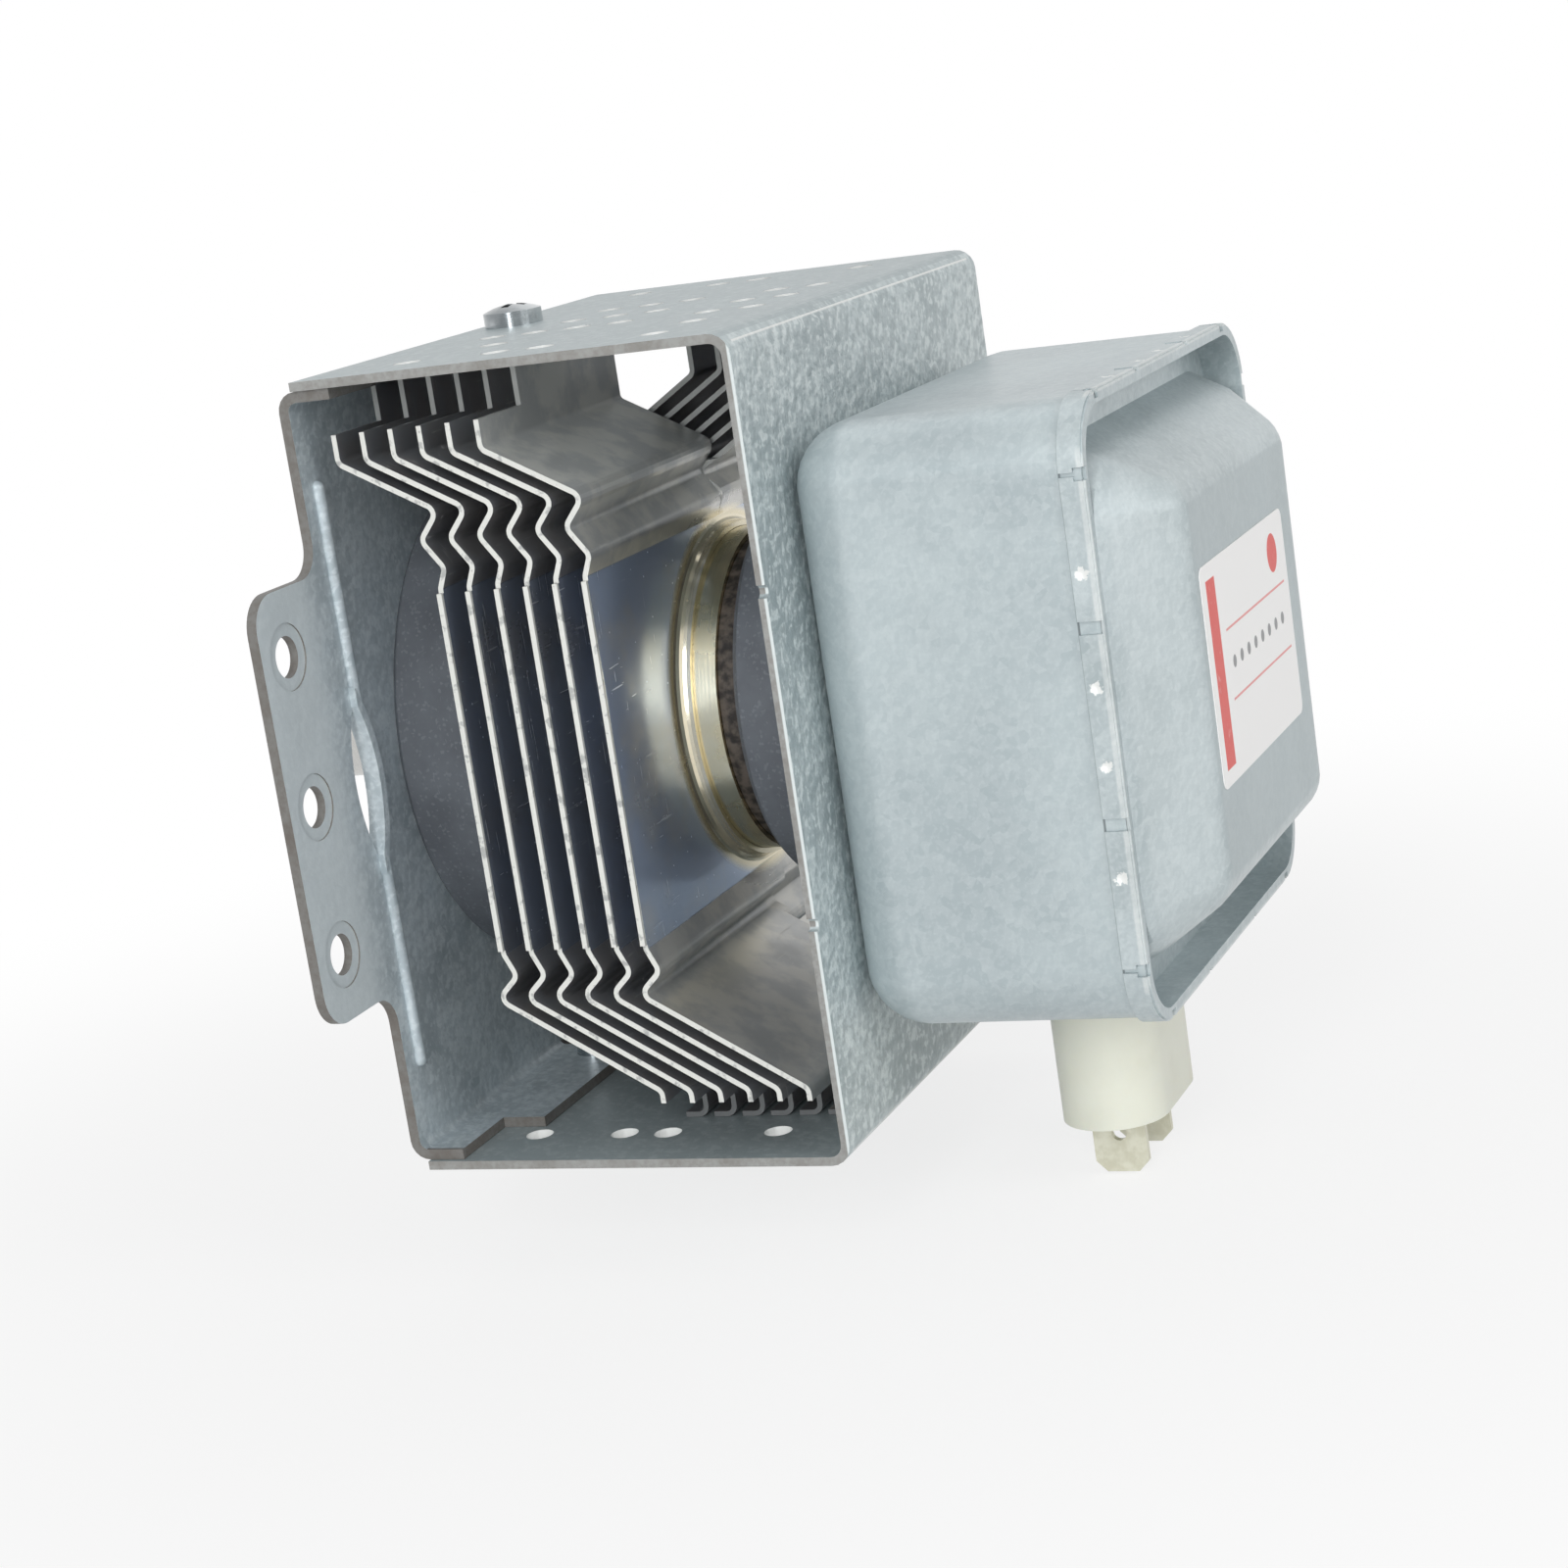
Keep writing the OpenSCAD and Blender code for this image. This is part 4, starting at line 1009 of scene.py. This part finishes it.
@dataclass
class Tube:
    """Magnets and the vacuum tube between them."""

    ferrite: Ferrite = Ferrite()
    anode: TurnedMetal = TurnedMetal(tint(238, 228, 196), tint(226, 214, 178), roughness=0.22, groove=0.01)
    copper: TurnedMetal = TurnedMetal(tint(206, 140, 108), tint(168, 104, 80), roughness=0.3)
    steel: TurnedMetal = TurnedMetal(tint(190, 192, 192), tint(158, 160, 160), roughness=0.3)
    cap: TurnedMetal = TurnedMetal(tint(206, 206, 203), tint(186, 186, 184), roughness=0.28)
    cathode: TurnedMetal = TurnedMetal(tint(150, 151, 153), tint(118, 119, 122), roughness=0.36)
    brazed: RoughSkin = RoughSkin(tint(92, 84, 76), tint(40, 36, 33), roughness=0.6)
    knit_core: RoughSkin = RoughSkin(
        tint(124, 116, 100),
        tint(58, 52, 44),
        size=0.5,
        depth=0.25,
        metallic=0.7,
    )
    knit_wire: RoughSkin = RoughSkin(
        tint(214, 208, 192),
        tint(186, 178, 158),
        depth=0.01,
        roughness=0.34,
        metallic=0.9,
    )
    alumina: Moulding = Moulding(tint(228, 204, 200), tint(212, 186, 182))
    wire_radius: float = 0.16 * MM
    wire_sides: int = 5
    knit_turns: int = 96
    knit_steps: int = 12
    gasket_softness: float = 0.4

    def strand(self, way: int) -> list[tuple[Vector, Vector]]:
        """Path of one strand that is wound round the gasket.

        Args:
            way: 1 or -1, the direction in which it climbs round the ring.

        Returns:
            Each place on the path with the direction out of the gasket.
        """
        low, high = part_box("mesh_gasket")
        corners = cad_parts["mesh_gasket"].data.vertices
        inner = min(math.hypot(corner.co.y, corner.co.z) for corner in corners)
        wide = (high.y - inner) / 2
        tall = (high.x - low.x) / 2
        soft = self.gasket_softness * 2 * tall
        total = self.knit_turns * self.knit_steps
        path = []
        for i in range(total):
            turn = math.tau * (i + 0.5) / self.knit_steps
            along = way * math.tau * i / total
            radius = inner + wide + math.copysign(wide - soft, math.cos(turn)) + soft * math.cos(turn)
            level = low.x + tall + math.copysign(tall - soft, math.sin(turn)) + soft * math.sin(turn)
            level = min(level, high.x - self.wire_radius)
            spoke = Vector((0.0, math.cos(along), math.sin(along)))
            path.append((AXIS * level + spoke * radius, AXIS * math.sin(turn) + spoke * math.cos(turn)))
        return path

    def gasket_knit(self) -> str:
        """Winds two strands of wire round the gasket, in opposite ways, and returns the piece's name."""
        angles = [math.tau * k / self.wire_sides for k in range(self.wire_sides)]
        mesh = bmesh.new()
        for way in (1, -1):
            path = self.strand(way)
            rings = []
            for i, (spot, out) in enumerate(path):
                run = (path[(i + 1) % len(path)][0] - path[i - 1][0]).normalized()
                aside = run.cross(out).normalized()
                ring = [spot + self.wire_radius * (math.cos(a) * out + math.sin(a) * aside) for a in angles]
                rings.append([mesh.verts.new(corner) for corner in ring])
            for i, second in enumerate(rings):
                first = rings[i - 1]
                for k in range(self.wire_sides):
                    face = mesh.faces.new((first[k - 1], first[k], second[k], second[k - 1]))
                    face.smooth = True
        return add_piece("gasket_wire", mesh, self.knit_wire.make("gasket_wire"))

    def build(self) -> list[str]:
        """Dresses the magnets and the tube and returns the names of the pieces."""
        done = dress(["antenna_side_magnet", "filter_side_magnet"], self.ferrite.make("ferrite"))
        done += dress(["anode_cylinder"], self.anode.make("anode_gold"))
        done += dress(["anode_vanes", "antenna_lead", "exhaust_pipe"], self.copper.make("bare_copper"))
        poles = ["antenna_side_pole_piece", "filter_side_pole_piece"]
        done += dress(["strap_rings", *poles, "antenna_side_seal_can"], self.steel.make("tube_steel"))
        done += dress(["filter_side_seal_can"], self.brazed.make("brazed_can"))
        done += dress(["antenna_cap"], self.cap.make("cap_steel"))
        done += dress(["mesh_gasket"], self.knit_core.make("gasket_core"))
        cathode = ["filament", "antenna_side_end_hat", "filter_side_end_hat", "centre_lead", "side_lead"]
        done += dress(cathode, self.cathode.make("cathode_metal"))
        done += dress(["output_ceramic", "stem_ceramic"], self.alumina.make("alumina"))
        done.append(self.gasket_knit())
        return done


@dataclass
class Filter:
    """Filter box with its lid, sticker, terminals and the chokes inside."""

    rim_x: ClassVar[float] = span("filter_box")[1].x
    lid_sheet: ClassVar[float] = 0.4
    skirt_length: ClassVar[float] = 2.28
    notch_place: ClassVar[float] = 10.4
    stake_shares: ClassVar[tuple[float, float]] = (0.4, 1.55)

    box: GalvanisedSheet = GalvanisedSheet(
        tone=tint(184, 196, 199),
        dark=tint(166, 178, 182),
        pale=tint(212, 220, 221),
        grain_size=0.7,
        grain_depth=0.008,
        grain_shading_tone=0.15,
        crystal_size=1.0,
        crystal_tone=0.25,
        blotch_size=22.0,
        roughness=0.36,
        metallic=0.25,
        draw_lines=0.004,
        seam_x=rim_x - skirt_length,
    )
    lid: GalvanisedSheet = GalvanisedSheet(
        tone=tint(185, 196, 199),
        dark=tint(163, 175, 178),
        pale=tint(212, 220, 221),
        grain_size=0.7,
        grain_depth=0.01,
        grain_shading_tone=0.2,
        crystal_size=1.0,
        crystal_tone=0.3,
        blotch_size=18.0,
        roughness=0.36,
        metallic=0.25,
        fold_x=rim_x + lid_sheet,
        stakes=(notch_place * stake_shares[0], notch_place * stake_shares[1]),
        edge=CutEdge.SKIRT,
    )
    case: Moulding = Moulding(tint(232, 233, 219), tint(222, 222, 206))
    tin: RoughSkin = RoughSkin(
        tint(222, 221, 204),
        tint(208, 206, 186),
        size=1.4,
        depth=0.006,
        roughness=0.34,
        metallic=0.5,
    )
    wire: TurnedMetal = TurnedMetal(tint(176, 98, 62), tint(140, 74, 46), roughness=0.25, metallic=0.8)
    core: Ferrite = Ferrite(tint(70, 72, 76), tint(52, 54, 58), tint(100, 102, 106))
    sticker_centre: tuple[float, float] = (-2.0, 1.2)
    sticker_size: tuple[float, float] = (37.0, 24.0)
    sticker_corner: float = 1.2
    sticker_corner_steps: int = 6
    sticker_gap: float = 0.01
    sticker_thickness: float = 0.09

    def sticker(self) -> str:
        """Builds the paper sticker on the lid's face and returns its name."""
        width, height = self.sticker_size
        finish = StickerPaper(self.sticker_centre, width, height).make("sticker_paper")
        base = span("filter_lid")[1].x + self.sticker_gap
        mesh = bmesh.new()
        outline: list[tuple[float, float]] = []
        for side_y, side_z, start in ((1, 1, 0), (-1, 1, 90), (-1, -1, 180), (1, -1, 270)):
            for step in range(self.sticker_corner_steps + 1):
                angle = math.radians(start + 90 * step / self.sticker_corner_steps)
                y = side_y * (width / 2 - self.sticker_corner) + self.sticker_corner * math.cos(angle)
                z = side_z * (height / 2 - self.sticker_corner) + self.sticker_corner * math.sin(angle)
                outline.append((y + self.sticker_centre[0], z + self.sticker_centre[1]))
        layers = []
        for level in (base, base + self.sticker_thickness):
            layers.append([mesh.verts.new((level * MM, y * MM, z * MM)) for y, z in outline])
        mesh.faces.new(layers[1])
        mesh.faces.new(list(reversed(layers[0])))
        for i in range(len(outline)):
            mesh.faces.new((layers[0][i - 1], layers[0][i], layers[1][i], layers[1][i - 1]))
        return add_piece("lid_sticker", mesh, finish)

    def build(self) -> list[str]:
        """Dresses the filter and returns the names of its pieces."""
        done = dress(["filter_box"], self.box.make("filter_box_sheet"))
        done += dress(["filter_lid"], self.lid.make("filter_lid_sheet"))
        done += dress(["capacitor_case", "capacitor_block"], self.case.make("cream_moulding"))
        done += dress(["terminal_front", "terminal_back"], self.tin.make("dull_tin"))
        done += dress(["choke_coil_front", "choke_coil_back"], self.wire.make("enamelled_wire"))
        done += dress(["ferrite_core_front", "ferrite_core_back"], self.core.make("choke_core"))
        soften(["filter_box", "filter_lid"], 30.0)
        done.append(self.sticker())
        return done


@dataclass(frozen=True)
class Lamp:
    """A soft lamp: its name, its place, width and height in metres, and its power in watts."""

    name: str
    place: Triple
    size: tuple[float, float]
    power: float

    def build(self, aim: Vector) -> str:
        """Adds the lamp to the scene.

        Args:
            aim: the place that it points at, in metres.

        Returns:
            The name, for the log.
        """
        data = bpy.data.lights.new(self.name, "AREA")
        data.shape = "RECTANGLE"
        data.size, data.size_y = self.size
        data.energy = self.power
        item = bpy.data.objects.new(self.name, data)
        item.location = self.place
        item.rotation_mode = "QUATERNION"
        item.rotation_quaternion = (aim - Vector(self.place)).to_track_quat("-Z", "Y")
        bpy.context.scene.collection.objects.link(item)
        return self.name


@dataclass
class Studio:
    """White floor and world, soft lamps and the camera at the photograph's angle."""

    lamps: tuple[Lamp, ...] = (
        Lamp("front_lamp", (0.25, -1.2, 0.42), (0.28, 0.85), 8.4),
        Lamp("right_lamp", (1.1, -0.3, 0.5), (0.6, 0.6), 3.5),
        Lamp("top_lamp", (-0.1, 0.4, 1.2), (0.9, 0.9), 1.5),
    )
    aim: Triple = (0.04, 0.0, 0.0)
    camera_place: Triple = (0.18613, -0.3484, 0.0707)
    camera_forward: Triple = (-0.38832, 0.89662, -0.21278)
    camera_roll: float = -8.624
    camera_sensor: float = 36.0
    camera_clip: tuple[float, float] = (0.01, 20.0)
    focal_share: float = 3350.0 / 1600.0
    floor_paint: Colour = (0.9, 0.9, 0.9, 1.0)
    floor_drop: float = 0.0003
    floor_reach: float = 8.0
    shadow_reach: tuple[float, float] = (70.0, 240.0)
    shadow_share: float = 0.22
    world_fill: float = 0.35

    def floor(self) -> str:
        """Makes the pale floor, white to the camera and in reflections apart from the shadow."""
        s = Shade("floor_paper")
        x, y, _ = s.spot()
        away = s.distance(x - self.aim[0] / MM, y).between(*self.shadow_reach)
        share = s.seen() * (1.0 - self.shadow_share * (1.0 - away))
        paint = s.node("ShaderNodeBsdfDiffuse", {}, {"Color": self.floor_paint})
        white = s.node("ShaderNodeEmission", {}, {"Color": WHITE, "Strength": 1.0})
        layers = {0: share, 1: Value(s, paint.outputs[0]), 2: Value(s, white.outputs[0])}
        mixed = s.node("ShaderNodeMixShader", {}, layers)
        s.node("ShaderNodeOutputMaterial", {}, {"Surface": Value(s, mixed.outputs[0])})
        level = Matrix.Translation((0.0, 0.0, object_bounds()[0].z - self.floor_drop))
        mesh = bmesh.new()
        bmesh.ops.create_grid(mesh, x_segments=1, y_segments=1, size=self.floor_reach, matrix=level)
        add_object("floor", mesh, s.block)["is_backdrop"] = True
        return "floor"

    def world(self) -> str:
        """Makes the world white to the camera and in reflections, and dimmer as a light."""
        s = Shade("white_room", world=True)
        strength = self.world_fill + (1.0 - self.world_fill) * s.seen()
        back = s.node("ShaderNodeBackground", {}, {"Color": WHITE, "Strength": strength})
        s.node("ShaderNodeOutputWorld", {}, {"Surface": Value(s, back.outputs[0])})
        bpy.context.scene.world = s.block
        return "white_room"

    def camera(self) -> str:
        """Makes the camera."""
        data = bpy.data.cameras.new("camera")
        data.sensor_width = self.camera_sensor
        data.lens = self.camera_sensor * self.focal_share
        data.clip_start, data.clip_end = self.camera_clip
        item = bpy.data.objects.new("camera", data)
        forward = Vector(self.camera_forward).normalized()
        level = forward.to_track_quat("-Z", "Y").to_matrix()
        turn = Matrix.Rotation(math.radians(self.camera_roll), 3, -forward)
        item.matrix_world = Matrix.Translation(self.camera_place) @ (turn @ level).to_4x4()
        bpy.context.scene.collection.objects.link(item)
        bpy.context.scene.camera = item
        return "camera"

    def build(self) -> list[str]:
        """Sets up the studio and returns the names of what it holds."""
        bpy.context.scene.view_settings.view_transform = "Standard"
        done = [self.floor(), self.world()]
        done += [lamp.build(Vector(self.aim)) for lamp in self.lamps]
        done.append(self.camera())
        return done


def main() -> None:
    """Builds the sub-assemblies in order and reports each piece."""
    logging.basicConfig(level=logging.INFO, format="%(name)s: %(message)s")
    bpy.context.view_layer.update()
    for part in (Housing(), FinStack(), Tube(), Filter(), Studio()):
        for name in part.build():
            LOG.info("%s: %s", type(part).__name__, name)


if __name__ == "__main__":
    main()
